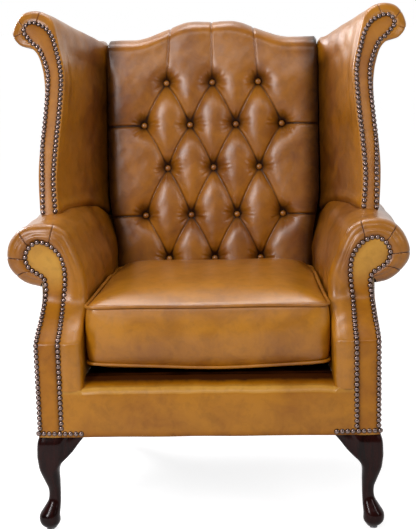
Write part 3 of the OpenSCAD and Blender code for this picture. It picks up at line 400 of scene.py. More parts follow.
# A paler copy of the leather for the arm and wing facings and the rail: partly their own rubbed paleness,
# partly painted light on these forward faces
leatherPaleAndLit = leatherMaterial(
    "leatherPaleAndLit", 0.7, linear(204, 152, 62), linear(176, 111, 6), linear(148, 87, 4), linear(58, 25, 2)
)
mahogany = woodMaterial("mahogany", linear(44, 13, 9), linear(18, 5, 4), (1, 1, 0.12), 0.16, 0.12)
beech = woodMaterial("beech", linear(214, 182, 138), linear(186, 148, 102), (1, 0.12, 1), 0.5, 0.0)
steel = metalMaterial("steel", linear(190, 190, 192), linear(120, 120, 124), 0.4)
nailMetal = metalMaterial("nailMetal", linear(168, 146, 138), linear(50, 34, 28), 0.36, domed=True)
webCloth = clothMaterial("webCloth", linear(150, 140, 120), linear(92, 84, 70), 300.0)
blackCloth = clothMaterial("blackCloth", linear(46, 46, 48), linear(22, 22, 24), 400.0)

for name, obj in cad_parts.items():
    if name in ("seat_springs", "spring_clips", "leg_glides"):
        material = steel
    elif name == "back_webbing":
        material = webCloth
    elif name == "dust_cover":
        material = blackCloth
    elif any(part in name for part in ("rail", "post", "block")) and "cover" not in name:
        material = beech
    else:
        material = leather
    obj.data.materials.clear()
    obj.data.materials.append(material)
print("materials made")

# The arms

armShares = {
    "outline": [
        [0, -0.015], [0, 0.295], [0, 0.394], [0, 0.497], [0, 0.59], [0.044, 0.661], [0.1, 0.717],
        [0.225, 0.817], [0.32, 0.882], [0.455, 0.944], [0.675, 0.988], [0.927, 1], [1.234, 0.995],
        [1.593, 0.963], [1.855, 0.8975], [2, 0.81], [1.966, 0.733], [1.745, 0.66], [1.414, 0.612],
        [1.1, 0.593], [1.03, 0.592],
    ],
    "nails": [
        [0.476, -0.015], [0.476, 0.295], [0.487, 0.394], [0.505, 0.497], [0.476, 0.59], [0.463, 0.652],
        [0.466, 0.702], [0.497, 0.764], [0.55, 0.801], [0.654, 0.842], [0.78, 0.873], [0.927, 0.891],
        [1.097, 0.891], [1.276, 0.863], [1.386, 0.829], [1.428, 0.792], [1.372, 0.739],
        [1.207, 0.702], [1.041, 0.68], [0.927, 0.658], [0.913, 0.637],
    ],
    "neck": [[0.913, 0.59], [0.9445, 0.497], [0.958, 0.394], [0.974, 0.295], [0.974, 0]],
    "pleats": [10.1, 13.1, 15.3, 17.0],
}


def armPoints(shares):
    s = np.asarray(shares, float)
    x = wallX + np.minimum(s[:, 0], 1) * neckW + np.maximum(s[:, 0] - 1, 0) * overhang
    return np.stack([x, armZ + s[:, 1] * armH], axis=1)


armOutline, armNails, armNeck = (armPoints(armShares[k]) for k in ("outline", "nails", "neck"))


# Depth of the arm's front at height z: upright, slanting back between crease and neck, upright
def armFrontU(z):
    s = (z - creaseZ) / (neckZ - creaseZ)
    return setback * (np.sqrt(s**2 + 0.04**2) - np.sqrt((s - 1) ** 2 + 0.2**2) + 1) / 2


armTopCurve = smooth(armOutline, np.linspace(5, 15, 400))


# Height of the scroll's upper side at x
def armTop(x):
    return np.interp(x, armTopCurve[:, 0], armTopCurve[:, 1])


# A rolled border, in columns from the nails to the outline: a soft bulge, then a quarter circle.
# Its lines leave the outline squarely and turn towards the nails. Radius and bulge are each a size
# and the largest share of a line that it may take. Gives the outline, the lines' lengths, the
# radius, the distance in from the outline, the depth behind the front, x and z.
def rolledBorder(outline, nails, t, radius, bulge, flatCount, arcCount):
    o = smooth(outline, t)
    toNail = smooth(nails, t) - o
    q0 = np.linalg.norm(toNail, axis=1)
    toNail /= q0[:, None]
    r = np.minimum(radius[0], q0 * radius[1])
    high = np.minimum(bulge[0], q0 * bulge[1])
    flat, k = (q0 - r)[:, None], np.linspace(0, 1, flatCount)[None, :]
    swell = np.clip((k * flat - 3.5) / np.maximum(flat - 3.5, 1), 0, 1)
    a = np.linspace(0, math.pi / 2, arcCount + 1)[None, 1:]
    q = np.hstack([q0[:, None] * (1 - k) + r[:, None] * k, r[:, None] * (1 - np.sin(a))])
    d = np.hstack([-high[:, None] * np.sin(math.pi * swell), r[:, None] * (1 - np.cos(a))])
    share = np.clip(q / q0[:, None], 0, 1)[..., None]
    way = rightOf(o)[:, None] * (1 - share) + toNail[:, None] * share
    way /= np.linalg.norm(way, axis=2)[..., None]
    xz = o[:, None] + way * q[..., None]
    return o, q0, r, q, d, xz[..., 0], xz[..., 1]


# A facing's straight rules between two edges: x, z, how far its padding stands out and the
# distance in from the nearer edge
def ruled(inner, outer, rows, columns, high):
    t = even((inner + outer) / 2, rows)[0]
    a, b = smooth(inner, t), smooth(outer, t)
    c = np.linspace(0, 1, columns)
    xz = a[:, None] * (1 - c[None, :, None]) + b[:, None] * c[None, :, None]
    edge = np.minimum(c, 1 - c)[None, :] * np.linalg.norm(b - a, axis=1)[:, None]
    return xz[..., 0], xz[..., 1], high * (1 - (2 * c - 1) ** 2)[None, :], edge


# Creases that run back from the front at some lengths of the run, a little askew by turns: their
# depth, which fades over a length reach
def pleatDepth(run, at, behind, deep, width, reach):
    total = 0
    for k, place in enumerate(at):
        skew = 0.12 * (-1) ** k * behind
        total = total + deep * bell(run[:, None] - place - skew, width)
    return total * np.exp(-np.maximum(behind, 0) / reach)


def buildArm(side, label):
    t, run = even(armOutline, 430)
    bulge = (2.4 + 1.4 * ease((t - 5) / 4), 1)
    o, q0, r, q, d, x, z = rolledBorder(
        armOutline, armNails, t, radius=(17.0, 0.8), bulge=bulge, flatCount=16, arcCount=9
    )
    u = armFrontU(z) + d
    count = 46
    reach = np.linspace(0, 1, count + 1)[None, 1:] ** 1.25
    endV = frameV + (backV - frameV) * ease((o[:, 0] - 335) / 35)
    endU = sideU(backU(endV, o[:, 1]), o[:, 0])
    start = (armFrontU(o[:, 1]) + r)[:, None]
    along = start + (endU[:, None] - start) * reach
    # The rear end closes by straight rules to an upright line just inside the outside of the back
    drop = np.clip((t - 10) / 10, 0, 1)
    line = np.stack([np.full(len(t), 327.0), 625 - 122 * drop], axis=1)[:, None]
    pull = ease((o[:, 0] - 322) / 30)[:, None, None] * np.array([0.04, 0.4, 1.0])[None, :, None]
    xzCap = o[:, None] * (1 - pull) + line * pull
    lineU = sideU(backU(backV - 6, line[..., 1]), line[..., 0])
    pull = pull[..., 0]
    capU = along[:, -1:] * (1 - pull) + lineU * pull + np.array([1.2, 2.0, 0])[None, :] * pull**0.3
    x = np.hstack([x, np.repeat(o[:, :1], count, axis=1), xzCap[..., 0]])
    z = np.hstack([z, np.repeat(o[:, 1:], count, axis=1), xzCap[..., 1]])
    uAll = np.hstack([u, along, capU])
    p = turned(x, uAll, z, side)
    out = normals(p) * (1 if side > 0 else -1)
    behind = uAll - armFrontU(z) - 6
    places = np.interp(armShares["pleats"], t, run)
    scroll = ease((t - 7) / 2)[:, None]
    sunk = pleatDepth(run, places, behind, 2.0, 1.2, 16.0) * scroll
    gather = 0.4 * np.abs(np.sin(math.pi * (run[:, None] - places[0]) / 46.0))
    gather = gather * np.exp(-np.maximum(behind, 0) / 40) * scroll
    quiet = 1 - ease((behind - 480) / 60)
    soft = waves(p, 95, 5) * 1.3 + waves(p, 38, 9) * 0.35
    ridge = 1.3 * bell(behind - 16, 8) * ease((t - 3) / 2)[:, None]
    p = p + out * ((gather - sunk + ridge + soft * quiet) * mm)[..., None]
    # Painted shade darkens the pleats, the rear against the back, the foot beside the cushion and a band
    # beside the nails; it is paler near the front, and a paler gold low along the front border
    low = 1.5 * sunk / 2.0 + 0.4 * ease((behind - 330) / 160) + 0.35 * ease((350 - z) / 70) * (behind > 4)
    fromNails = q0[:, None] - np.hstack([q, np.zeros((len(t), x.shape[1] - q.shape[1]))])
    low = low + 0.55 * bell(fromNails, 7) * (behind < 0)
    golden = 0.35 * (1 - ease((behind - 4) / 26)) * (1 - ease((z - 440) / 60))
    wearAndPaintedLight = np.clip(1.12 + 0.4 * bell(behind - 40, 60) + golden - low, 0, 2)
    piece = makePiece(f"arm_leather_{label}", [(p, wearAndPaintedLight, False, False, side < 0)], leather)
    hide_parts(f"inside_arm_leather_{label}", f"inside_arm_pad_{label}")


# The facing between the rows of nails, with a hem turned under its foot
def buildArmFacing(side, label):
    inner = np.vstack([[armNails[0][0], skirtZ], armNails[1:13]])
    outer = np.vstack([[armNeck[4][0], skirtZ], armNeck[3::-1], armNails[20:12:-1]])
    x, z, bulge, edge = ruled(inner, outer, 150, 15, 2.4)
    u = armFrontU(z) - bulge + 0.4
    # Painted shade along the rows of nails; paler up on the scroll and in a thin strip at the foot
    wearAndPaintedLight = 0.95 + 1.05 * ease((z - 480) / 60) - 0.8 * bell(edge, 7.0) + bell(z - skirtZ, 3)
    hem = turned(x[:1], u[:1] + 7, z[:1] + 1.5, side)
    p = np.concatenate([hem, turned(x, u, z, side)])
    wearAndPaintedLight = np.concatenate([wearAndPaintedLight[:1], wearAndPaintedLight])
    grids = [(p, wearAndPaintedLight, False, False, side > 0)]
    piece = makePiece(f"arm_front_{label}", grids, leatherPaleAndLit)
    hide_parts(f"arm_facing_{label}")


# The arm's outside: a flat panel that swells a little, turned under along its lower edge
def buildArmOutside(side, label):
    count = 60
    z = np.concatenate([[skirtZ + 3, skirtZ], np.linspace(skirtZ + 4, 503, count)])[:, None]
    x0 = np.concatenate([[baseHalf - 8, baseHalf - 3], np.full(count, baseHalf)])[:, None]
    c = np.linspace(0, 1, count)[None, :]
    front = armFrontU(z) + 1.0
    rear = sideU(backU(backV, z), x0)
    u = front + (rear - front) * c
    swell = 2.2 * np.sin(math.pi * c) ** 0.5 * np.sin(math.pi * (z - skirtZ) / 300).clip(0) ** 0.5
    rounding = -3.0 * bell(u - front, 2.5)
    p = turned(x0 + swell + rounding, u, z, side)
    p[..., 0] += side * waves(p, 120, 21) * 0.5 * mm
    # Painted shade towards the top under the scroll's overhang; darker at the foot, paler near the front
    wearAndPaintedLight = 1.3 - 0.5 * ease((z - 440) / 60) - 0.3 * bell(z - skirtZ, 18) + 0.5 * bell(u - front, 60)
    piece = makePiece(f"arm_outside_{label}", [(p, wearAndPaintedLight, False, False, side < 0)], leather)
    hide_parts(f"outside_arm_{label}")


for side, label in sides:
    buildArm(side, label)
    buildArmFacing(side, label)
    buildArmOutside(side, label)
print("arms made")

# The wings

wingShares = {
    "outline": [
        [0, 0], [0.063, 0.155], [0.048, 0.326], [0.016, 0.461], [0, 0.571], [0, 0.653],
        [0.04, 0.724], [0.103, 0.787], [0.175, 0.864], [0.27, 0.946], [0.437, 0.988], [0.627, 1],
        [0.817, 0.988], [0.937, 0.951], [1, 0.895], [0.96, 0.857], [0.833, 0.822], [0.635, 0.806],
        [0.508, 0.766], [0.421, 0.698], [0.389, 0.658], [0.357, 0.583], [0.357, 0.443],
        [0.397, 0.309], [0.405, 0.164], [0.333, 0],
    ],
    "nails": [
        [0.063, 0], [0.135, 0.155], [0.119, 0.326], [0.087, 0.461], [0.071, 0.571], [0.071, 0.653],
        [0.111, 0.724], [0.175, 0.787], [0.254, 0.857], [0.373, 0.906], [0.524, 0.932],
        [0.627, 0.941], [0.73, 0.934], [0.786, 0.906], [0.783, 0.897], [0.78, 0.888],
        [0.74, 0.873], [0.63, 0.838], [0.49, 0.806], [0.345, 0.715], [0.302, 0.653],
        [0.302, 0.571], [0.325, 0.443], [0.349, 0.309], [0.325, 0.164], [0.286, 0],
    ],
    "rear": [
        [0, 0], [0, 0.155], [0, 0.326], [0, 0.461], [0, 0.571], [0, 0.653], [0, 0.73], [0, 0.8],
        [0, 0.87], [0.02, 0.94], [0.2, 0.99], [0.5, 1], [0.8, 0.99], [0.95, 0.965], [1, 0.93],
        [1, 0.9], [1, 0.87], [1, 0.84], [1, 0.8], [1, 0.72], [1, 0.66], [1, 0.58], [1, 0.44],
        [1, 0.31], [1, 0.16], [1, 0],
    ],
    "pleats": [8.8, 10.4, 12.9, 14.7],
}
wingX = wallX + 0.843 * neckW
wingZ = armZ + armH + 4
wingW = 126.0
wingH = 431.0
rearX = wallX + 0.236 * neckW
rearW = 51.0
rearH = wingH * 0.822
wingFootU = setback + 148.0
tailDrop = 24.0  # how far the top of a wing's rear end comes down behind the crest


def wingPoints(key, x, wide, high):
    return np.array([[x + a * wide, wingZ + b * high] for a, b in wingShares[key]])


wingOutline, wingNails = (wingPoints(k, wingX, wingW, wingH) for k in ("outline", "nails"))
wingRear = wingPoints("rear", rearX, rearW, rearH)


def wingFrontU(z):
    return wingFootU + (z - wingZ) * math.tan(lean)


# Lowers the foot of a wing onto the arm's scroll; slope is how its depth follows its height
def seated(x, u, z, slope):
    drop = (armTop(x) - 5 - wingZ) * np.clip(1 - (z - wingZ) / 67, 0, 1)
    return x, u + drop * slope, z + drop


# One side of a wing, between the indices lo and hi of its outline
def buildWing(side, label, lo, hi, count, name, nodes):
    t, run = even(wingOutline, count, lo, hi)
    rear = smooth(wingRear, t)
    o, q0, r, q, d, x, z = rolledBorder(
        wingOutline, wingNails, t, radius=(10.0, 0.75), bulge=(2.0, 0.15), flatCount=6, arcCount=6
    )
    x, u, z = seated(x, wingFrontU(z) + d, z, math.tan(lean))
    steps, tailSteps = 44, 5
    k = np.linspace(0, 1, steps + 1)[None, 1:]
    startU = (wingFrontU(o[:, 1]) + r)[:, None]
    rearU = sideU(backU(0, rear[:, 1]), rear[:, 0])[:, None]
    xs = o[:, :1] + (rear[:, :1] - o[:, :1]) * k
    zs = o[:, 1:] + (rear[:, 1:] - o[:, 1:]) * k
    us = startU + (rearU - startU) * k
    # The inside hollows gently between its front edge and the back
    inside = ease((8.5 - t) / 1.5)[:, None]
    hollow = 5.0 * np.sin(math.pi * k) * inside
    xs = xs + hollow
    xs, us, zs = seated(xs, us, zs, math.tan(lean) * (1 - k) + math.tan(rake) * k)
    endV = frameV + (backV - frameV) * ease((t - 8) / 1.0)
    last = sideU(backU(endV, zs[:, -1]), xs[:, -1])[:, None]
    tailK = np.linspace(0, 1, tailSteps + 1)[None, 1:]
    tail = us[:, -1:] + (last - us[:, -1:]) * tailK
    high = ease((zs[:, -1:] - (wingZ + rearH - 70)) / 70)
    tailZ = zs[:, -1:] - tailDrop * high * ease((tailK - 0.3) / 0.7)
    # Its rear end closes straight down, just inside the outside of the back
    shutX = np.clip(xs[:, -1:], rearX + 3, rearX + rearW - 3)
    shutZ = np.minimum(tailZ[:, -1:], 918)
    shutU = sideU(backU(endV[:, None] - 3, shutZ), shutX)
    x = np.hstack([x, xs, np.repeat(xs[:, -1:], tailSteps, axis=1), shutX])
    z = np.hstack([z, zs, tailZ, shutZ])
    tail = np.hstack([tail, shutU])
    uAll = np.hstack([u, us, tail])
    p = turned(x, uAll, z, side)
    out = normals(p) * (1 if side > 0 else -1)
    behind = np.hstack([d, np.broadcast_to((us - startU) + r[:, None], us.shape), tail - startU]) - 3
    fullT, fullRun = even(wingOutline, 400)
    places = np.interp(wingShares["pleats"], fullT, fullRun) - np.interp(lo, fullT, fullRun)
    scroll = (ease((t - 8.6) / 1.2) * ease((18.5 - t) / 1.0))[:, None]
    sunk = pleatDepth(run, places, behind, 1.8, 1.2, 13.0) * scroll
    soft = waves(p, 110, 31) * 1.1 + waves(p, 40, 33) * 0.3
    quiet = ease(behind / 30) * (1 - ease((behind - 200) / 60) * 0.7)
    foot = (run if lo == 0 else run[-1] - run)[:, None]
    ridge = 1.8 * bell(behind - 24, 10) * inside * ease((t - 1.5) / 3)[:, None]
    tuck = 3.0 * bell(foot - 17, 9) * ease(behind / 20) - 5.0 * bell(foot, 7)
    p = p + out * ((soft * quiet - sunk + ridge + tuck) * mm)[..., None]
    depth = np.hstack([np.zeros_like(q), np.broadcast_to(k, us.shape), np.ones_like(tail)])
    # Painted shade darkens the pleats, the inside towards the back, the outside and the seam at the foot;
    # it is paler near the front edge
    low = 1.5 * sunk / 1.8 + 0.85 * ease((depth - 0.45) / 0.55) * inside
    low = low + 0.25 * (1 - inside) * ease((t - 17) / 2)[:, None] + 1.1 * bell(foot, 7)
    wearAndPaintedLight = np.clip(1.1 + 0.6 * (1 - ease(behind / 180)) - low, 0, 2)
    piece = makePiece(f"{name}_{label}", [(p, wearAndPaintedLight, False, False, side < 0)], leather)
    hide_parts(*nodes)
    return piece


def buildWingFacing(side, label):
    inner, outer = wingNails[:13], wingNails[25:12:-1]
    x, z, bulge, edge = ruled(inner, outer, 130, 11, 1.8)
    p = turned(*seated(x, wingFrontU(z) - bulge + 0.4, z, math.tan(lean)), side)
    # Painted shade along the rows of nails
    wearAndPaintedLight = 1.05 - 0.75 * bell(edge, 6.0)
    grids = [(p, wearAndPaintedLight, False, False, side > 0)]
    piece = makePiece(f"wing_front_{label}", grids, leatherPaleAndLit)
    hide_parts(f"wing_facing_{label}")


for side, label in sides:
    hidden = [f"inside_wing_leather_{label}", f"inside_wing_pad_{label}"]
    piece = buildWing(side, label, 0, 18, 430, "wing_leather", hidden)
    buildWing(side, label, 18, 25, 90, "wing_outside", [f"outside_wing_{label}"])
    buildWingFacing(side, label)
print("wings made")

# The buttoned back and its crest, one sheet of leather

backH = 723.0
crestRise = 42.0
rollH = 42.0
buttonDx = 54.8
buttonLow = 152.0
buttonSpan = 420.0
rowShares = [0, 0.249, 0.517, 0.761, 1]


def halfAt(u, x):
    return turnX + (x - turnX) * math.cos(sideTurn) - u * math.sin(sideTurn)


crestHalf = halfAt(sideU(backU(frameV, deckZ + backH), rearX), rearX)
seatHalf = halfAt(sideU(backU(frameV, 500), wallX), wallX)


def crestW(x):
    k = np.clip((np.abs(x) / crestHalf - 0.155) / 0.62, 0, 1)
    return backH - crestRise * (1 - np.cos(math.pi * k)) / 2


# Half the width of the back's front, which goes from the seat's to the crest's
def backHalf(w):
    return seatHalf + (crestHalf - seatHalf) * ease((w - 180) / 140)


def rowW(r):
    return buttonLow + rowShares[r] * buttonSpan


# Rows of three and of four buttons take turns, and pleats join the neighbours of two rows
def buttonRow(r):
    return [(k * buttonDx, rowW(r)) for k in ((-2, 0, 2) if r % 2 == 0 else (-3, -1, 1, 3))]


buttons = [b for r in range(5) for b in buttonRow(r)]
pleats = [
    (a, b) for r in range(4) for a in buttonRow(r) for b in buttonRow(r + 1)
    if abs(abs(a[0] - b[0]) - buttonDx) < 1
]
pleats += [(b, (b[0] * 1.05, -60)) for b in buttonRow(0)]
folds = [(b, (b[0] * 0.84, backH + 60)) for b in buttonRow(4)]
folds += [((s * 3 * buttonDx, rowW(r)), (s * 330, rowW(r) - 6)) for r in (1, 3) for s in (-1, 1)]


# Distance to the nearest of some lines, the side it lies on, and the same distance blended
# smoothly where two lines are equally near. A line between two buttons bows by bow at its middle.
def toLines(lines, x, w, bow):
    blend = 6
    near, side, total = np.full(x.shape, 1e9), np.zeros(x.shape), np.zeros(x.shape)
    for a, b in lines:
        dx, dw = b[0] - a[0], b[1] - a[1]
        long = math.hypot(dx, dw)
        s = -1 if dx > 0 else 1
        k = ((x - a[0]) * dx + (w - a[1]) * dw) / long**2
        over = (k - np.clip(k, 0, 1)) * long
        across = s * ((x - a[0]) * dw - (w - a[1]) * dx) / long - bow * np.sin(math.pi * np.clip(k, 0, 1))
        dist = np.hypot(over, across)
        side = np.where(dist < near, across, side)
        near = np.minimum(near, dist)
        total += np.exp(-dist / blend)
    return near, side, np.maximum(-blend * np.log(total + 1e-30), 0)


# Height of the leather over the button line, and the painted shade there. It drops steeply to each
# button and a little along the pleats, which end in a narrow fold whose upper side laps the lower.
# Short creases run out from each button, and it settles to the roll's depth under the crest.
def puff(x, w):
    near, side, blended = toLines(pleats, x, w, 3.5)
    thin = toLines(folds, x, w, 0)[0]
    level = np.abs(w - rowW(1)) + np.abs(w - rowW(3)) < rowW(3) - rowW(1) + 60
    hole = np.full(x.shape, 1e9)
    turn, which = np.zeros(x.shape), np.zeros(x.shape, int)
    for n, (bx, bw) in enumerate(buttons):
        dist = np.hypot(x - bx, w - bw)
        turn = np.where(dist < hole, np.arctan2(w - bw, x - bx), turn)
        which = np.where(dist < hole, n, which)
        hole = np.minimum(hole, dist)
    edge = np.maximum(backHalf(w) + 4 - np.abs(x), 0)
    free = 1 - bell(hole, 13)
    well = np.exp(-((hole / 19) ** 1.3))
    body = 27 - 10.5 * np.exp(-((blended / 16) ** 1.3)) - 17.5 * well
    body -= 16 * np.exp(-((edge / (11 - 4 * ease((w - 560) / 90))) ** 1.2))
    phase = np.random.default_rng(7).uniform(0, 6.28, (len(buttons), 3))[which]
    rays = sum(np.sin(m * turn + phase[..., i]) for i, m in enumerate((7, 12, 17)))
    crease = 0.75 * rays * bell(hole - 20, 10) * (1 - bell(near, 5))
    row = sum(bell(w - rowW(r), 9) * np.cos(2 * math.pi * (w - rowW(r)) / 10) for r in (1, 2, 3))
    row = row * bell(hole - 24, 13) * (0.5 + 0.5 * np.sin(x * 0.043 + w * 0.017))
    crease += 0.8 * row * (1 - bell(near, 9)) * (np.abs(x) < 165)
    fold = -1.6 * bell(near, 1.9) + 1.1 * np.tanh(side / 1.3) * bell(near, 6)
    fold -= (1.8 + 1.6 * level) * bell(thin, 2.2) + 1.4 * bell(thin, 7) + 1.8 * bell(thin, 26)
    up = np.clip((w - rowW(4)) / (crestW(x) - rollH - rowW(4)), 0, 1)
    height = np.clip(body, 0, 30) + (fold + crease) * free
    flute = 21 - 2.4 * bell(thin, 2.2) - 2.0 * bell(thin, 22)
    height = height + (np.minimum(height, flute) - height) * ease(up)
    # Painted shade round each button, most above it where the puff overhangs, along the pleats and folds,
    # and at the sides beside the wings
    above = np.hypot(hole * np.cos(turn), hole * np.sin(turn) * np.where(turn > 0, 0.7, 1.3))
    low = 1.25 * bell(above, 15) + 0.75 * bell(near, 2.2) * free + 1.1 * bell(edge, 36)
    low += (0.5 + 0.5 * level) * bell(thin, 2.0) * free + 0.25 * bell(hole, 34)
    return np.maximum(height, 0), np.clip(1.2 - low, 0, 2)


def buildBack():
    cols, rows, over = 260, 310, 50
    k = np.linspace(-1, 1, cols)[None, :]
    up = np.linspace(0, 1, rows)[:, None]
    xTop = k * (crestHalf + 3)
    wTop = crestW(xTop) - rollH
    w = up * wTop
    x = k * (backHalf(w) + 3)
    w = up * (crestW(x) - rollH)
    h, wearAndPaintedLight = puff(x, w)
    front = raked(x, -h, w)
    # Over the crest: a half round from the puffs' face to the outside of the back
    a = np.linspace(0, math.pi, over + 1)[1:, None]
    frontV = -h[-1:]
    vArc = frontV + (backV - 1 - frontV) * (1 - np.cos(a)) / 2
    wArc = wTop + rollH * np.sin(a) ** 0.8
    hArc, arcPaintedShade = puff(np.broadcast_to(xTop, wArc.shape).copy(), np.minimum(wArc, wTop + 30))
    puffed = 1 - ease((a - 1.7) / 0.6)
    sink = (20 - hArc) * puffed * np.sin(a)
    p = np.concatenate([front, raked(xTop, vArc, wArc - sink)])
    # The painted shade fades out over the crest
    wearAndPaintedLight = np.concatenate([wearAndPaintedLight, 1 - (1 - arcPaintedShade) * puffed])
    soft = waves(p, 80, 41) * 0.6 + waves(p, 26, 43) * 0.15
    p = p - normals(p) * (soft * mm)[..., None]
    piece = makePiece("back_leather", [(p, wearAndPaintedLight, False, False, True)], leather)
    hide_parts("inside_back_quilt", "inside_back_foam", "crest_roll")


buildBack()


# A covered button: a dome of leather with a few radial tucks, sunk in its hollow
def buildButtons():
    grids = []
    r = np.array([1.5, 5.4, 6.8, 7.0, 6.6, 5.7, 4.4, 2.7, 1.2, 0])[:, None]
    y = np.array([-0.4, -1.4, -2.6, -4.0, -5.6, -6.8, -7.7, -8.3, -8.5, -8.55])[:, None]
    a = circle(32)[None, :]
    for n, (bx, bw) in enumerate(buttons):
        tuck = 1 + 0.03 * np.sin(a * 7 + n) * (r > 4)
        p = raked(bx + r * tuck * np.cos(a), y + 0 * a, bw + r * tuck * np.sin(a))
        # Painted shade towards its rim and underside, where it sinks into the hollow
        grids.append((p, 0.55 + 0.45 * ease((-y - 3) / 5) + 0 * a, False, True, False))
    piece = makePiece("buttons", grids, leather)
    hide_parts("back_buttons")


buildButtons()
print("back made")

# The seat: the rail's cover, the deck and the loose cushion


def seatHalfAt(u):
    return halfAt(u, wallX) - 0.6


railHalf, railRollHalf = 303, 268  # the cover's half width, and that of its rolled lip


def buildRailCover():
    x = np.linspace(-railHalf, railHalf, 170)[None, :]
    roll = ease((railRollHalf - np.abs(x)) / 10)
    r = 1.5 + 12.5 * roll
    k = np.linspace(0, 1, 20)[:, None]
    a = np.linspace(0, math.pi / 2, 12)[:, None]
    c = np.linspace(0.08, 1, 16)[:, None]
    under = np.array([[9, 2.5], [2, 0], [0.3, 0.6]]) + [0, skirtZ]
    faceZ = skirtZ + 2
    u = np.concatenate([under[:, :1] + 0 * x, 0 * k + 0 * x, r * (1 - np.cos(a)), r + 46 * c * roll])
    z = np.concatenate([
        under[:, 1:] + 0 * x, faceZ + (lipZ - r - (faceZ + 1)) * k, lipZ - r * (1 - np.sin(a)),
        lipZ + (17.5 * ease(c * 0.8 + 0.1) / ease(0.9)) * roll,
    ])
    swell = 3.4 * np.sin(math.pi * np.clip((z - faceZ) / 97, 0, 1)) * (1 - bell(railHalf - np.abs(x), 30))
    crown = 2.5 * roll * bell(u - 12, 16) * (1 - bell(railRollHalf - 6 - np.abs(x), 20)) * (z > lipZ - r)
    p = placed(x, u - swell, z + crown)
    p[..., 1] -= waves(p, 90, 51) * 0.8 * mm
    p[..., 2] += waves(p, 50, 53) * 0.6 * mm * (z > 290)
    # Darker at its foot, with a painted highlight along the lip's rounded top and painted shade over the
    # part that runs back under the cushion
    wearAndPaintedLight = 1.15 - 0.5 * bell(z - skirtZ, 8) + 0.85 * bell(u - 7, 8) * (z > 296) - 1.2 * ease((u - 16) / 26)
    piece = makePiece("rail_leather", [(p, wearAndPaintedLight, False, False, True)], leatherPaleAndLit)
    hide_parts("front_rail_cover")


def buildDeck():
    u = np.linspace(50, 474, 30)[:, None]
    x = np.linspace(-1, 1, 60)[None, :] * seatHalfAt(u)
    p = placed(x, u, deckZ + 0 * u)
    # A value of 0 gives it the darkest colour all over: painted shade under the cushion
    piece = makePiece("deck_leather", [(p, 0.0, False, False, True)], leather)
    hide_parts("deck_cover", "deck_pad")


buildRailCover()
buildDeck()

# Places of the cushion's front and rear, its corner radii, how far its sides draw in, the heights of
# its base and its two seams, the rise of its crown, and the welts' radius
cushion = {
    "front": 38.0, "rear": 475.0, "r": 24.0, "rearR": 40.0, "draw": 4.0,
    "base": 325.2, "low": 351.3, "top": 471.3, "crown": 23.0, "welt": 3.6,
}


# A ring round the cushion at height z, moved in by e and shrunk to a share s about its middle.
# Its sides draw in between the corners, and its rear leans with the back.
def cushionRing(z, e, s, corner=14, sideCount=34):
    rf, rr = cushion["r"] - e, cushion["rearR"] - e
    uf = cushion["front"] + e + rf
    ur = cushion["rear"] - 0.3 + (z - cushion["base"]) * math.tan(rake) - e - rr
    xf, xr = seatHalfAt(uf) - 0.3 - e - rf, seatHalfAt(ur) - 0.3 - e - rr
    spots = [(-xf, uf, 180, rf), (xf, uf, 270, rf), (xr, ur, 0, rr), (-xr, ur, 90, rr)]
    out = []
    for c in range(4):
        a, b = np.array(spots[c][:2]), np.array(spots[(c + 1) % 4][:2])
        r, rNext = spots[c][3], spots[(c + 1) % 4][3]
        q = np.radians(spots[c][2] + 90 * np.linspace(0, 1, corner, endpoint=False))
        out.append(a + r * np.stack([np.cos(q), np.sin(q)], axis=1))
        q = math.radians(spots[c][2] + 90)
        k = np.linspace(0, 1, sideCount, endpoint=False)[:, None]
        reach = r + (rNext - r) * k - cushion["draw"] * np.sin(math.pi * k)
        out.append(a + (b - a) * k + reach * np.array([[math.cos(q), math.sin(q)]]))
    ring = np.concatenate(out)
    mid = (cushion["front"] + cushion["rear"]) / 2
    return np.stack([ring[:, 0] * s, mid + (ring[:, 1] - mid) * s, np.full(len(ring), z)], axis=1)


# How far the seams hang below their level: the lower one along the front, the upper one behind
def sag(x, u, z):
    low, top = cushion["low"], cushion["top"]
    across = np.clip(1 - (x / 235) ** 2, 0, 1)
    upper = np.clip((z - low) / (top - low), 0, 1)
    front = across * (1 - ease((u - 60) / 170)) * (11 * (1 - upper) + 2 * upper) * ease((z - 329) / 20)
    return front + 11 * ease((u - 330) / 110) * ease((z - 400) / 70) * (1 - ease((z - top) / 12))


# How far the front face swells forwards, as a half wave between its seams
def swollen(x, u, z):
    k = np.clip((z - cushion["low"]) / (cushion["top"] - cushion["low"]), 0, 1)
    return (1 - ease((u - 40) / 45)) * np.sin(math.pi * k) * np.clip(1 - (x / 236) ** 8, 0, 1)


# Short tucks that run into the front face from its corners, and slow dents between them
def tucked(x, u, z):
    total = 0
    corners = [(cx, cz) for cz in (351, 471) for cx in (-232, 232)]
    for n, (cx, cz) in enumerate(corners):
        far, turn = np.hypot(x - cx, z - cz), np.arctan2(z - cz, x - cx)
        total = total + np.sin(9 * turn + 2 * n) * np.exp(-far / 40) * (1 - bell(far, 12))
    flat = np.stack([x, 0.5 * x + 0.3 * z, 1.6 * z], axis=-1) * mm
    return swollen(x, u, z) * (2.2 * total + 0.7 * waves(flat, 70, 63))


# How pale the cushion is: rubbed pale all over, with a painted highlight high on its front face and
# near the front of its top, and painted shade low on the front face, under the top welt and towards
# the back of its top
def cushionWearAndPaintedLight(u, z):
    low, top = cushion["low"], cushion["top"]
    onTop = ease((z - top - 1) / 4)
    face = 1.55 + 0.4 * bell(z - 435, 28) - 0.75 * ease((385 - z) / 45) - 0.3 * bell(z - top, 7)
    return face + (1.75 + 0.25 * bell(u - 110, 70) - 0.6 * ease((u - 150) / 330) - face) * onTop


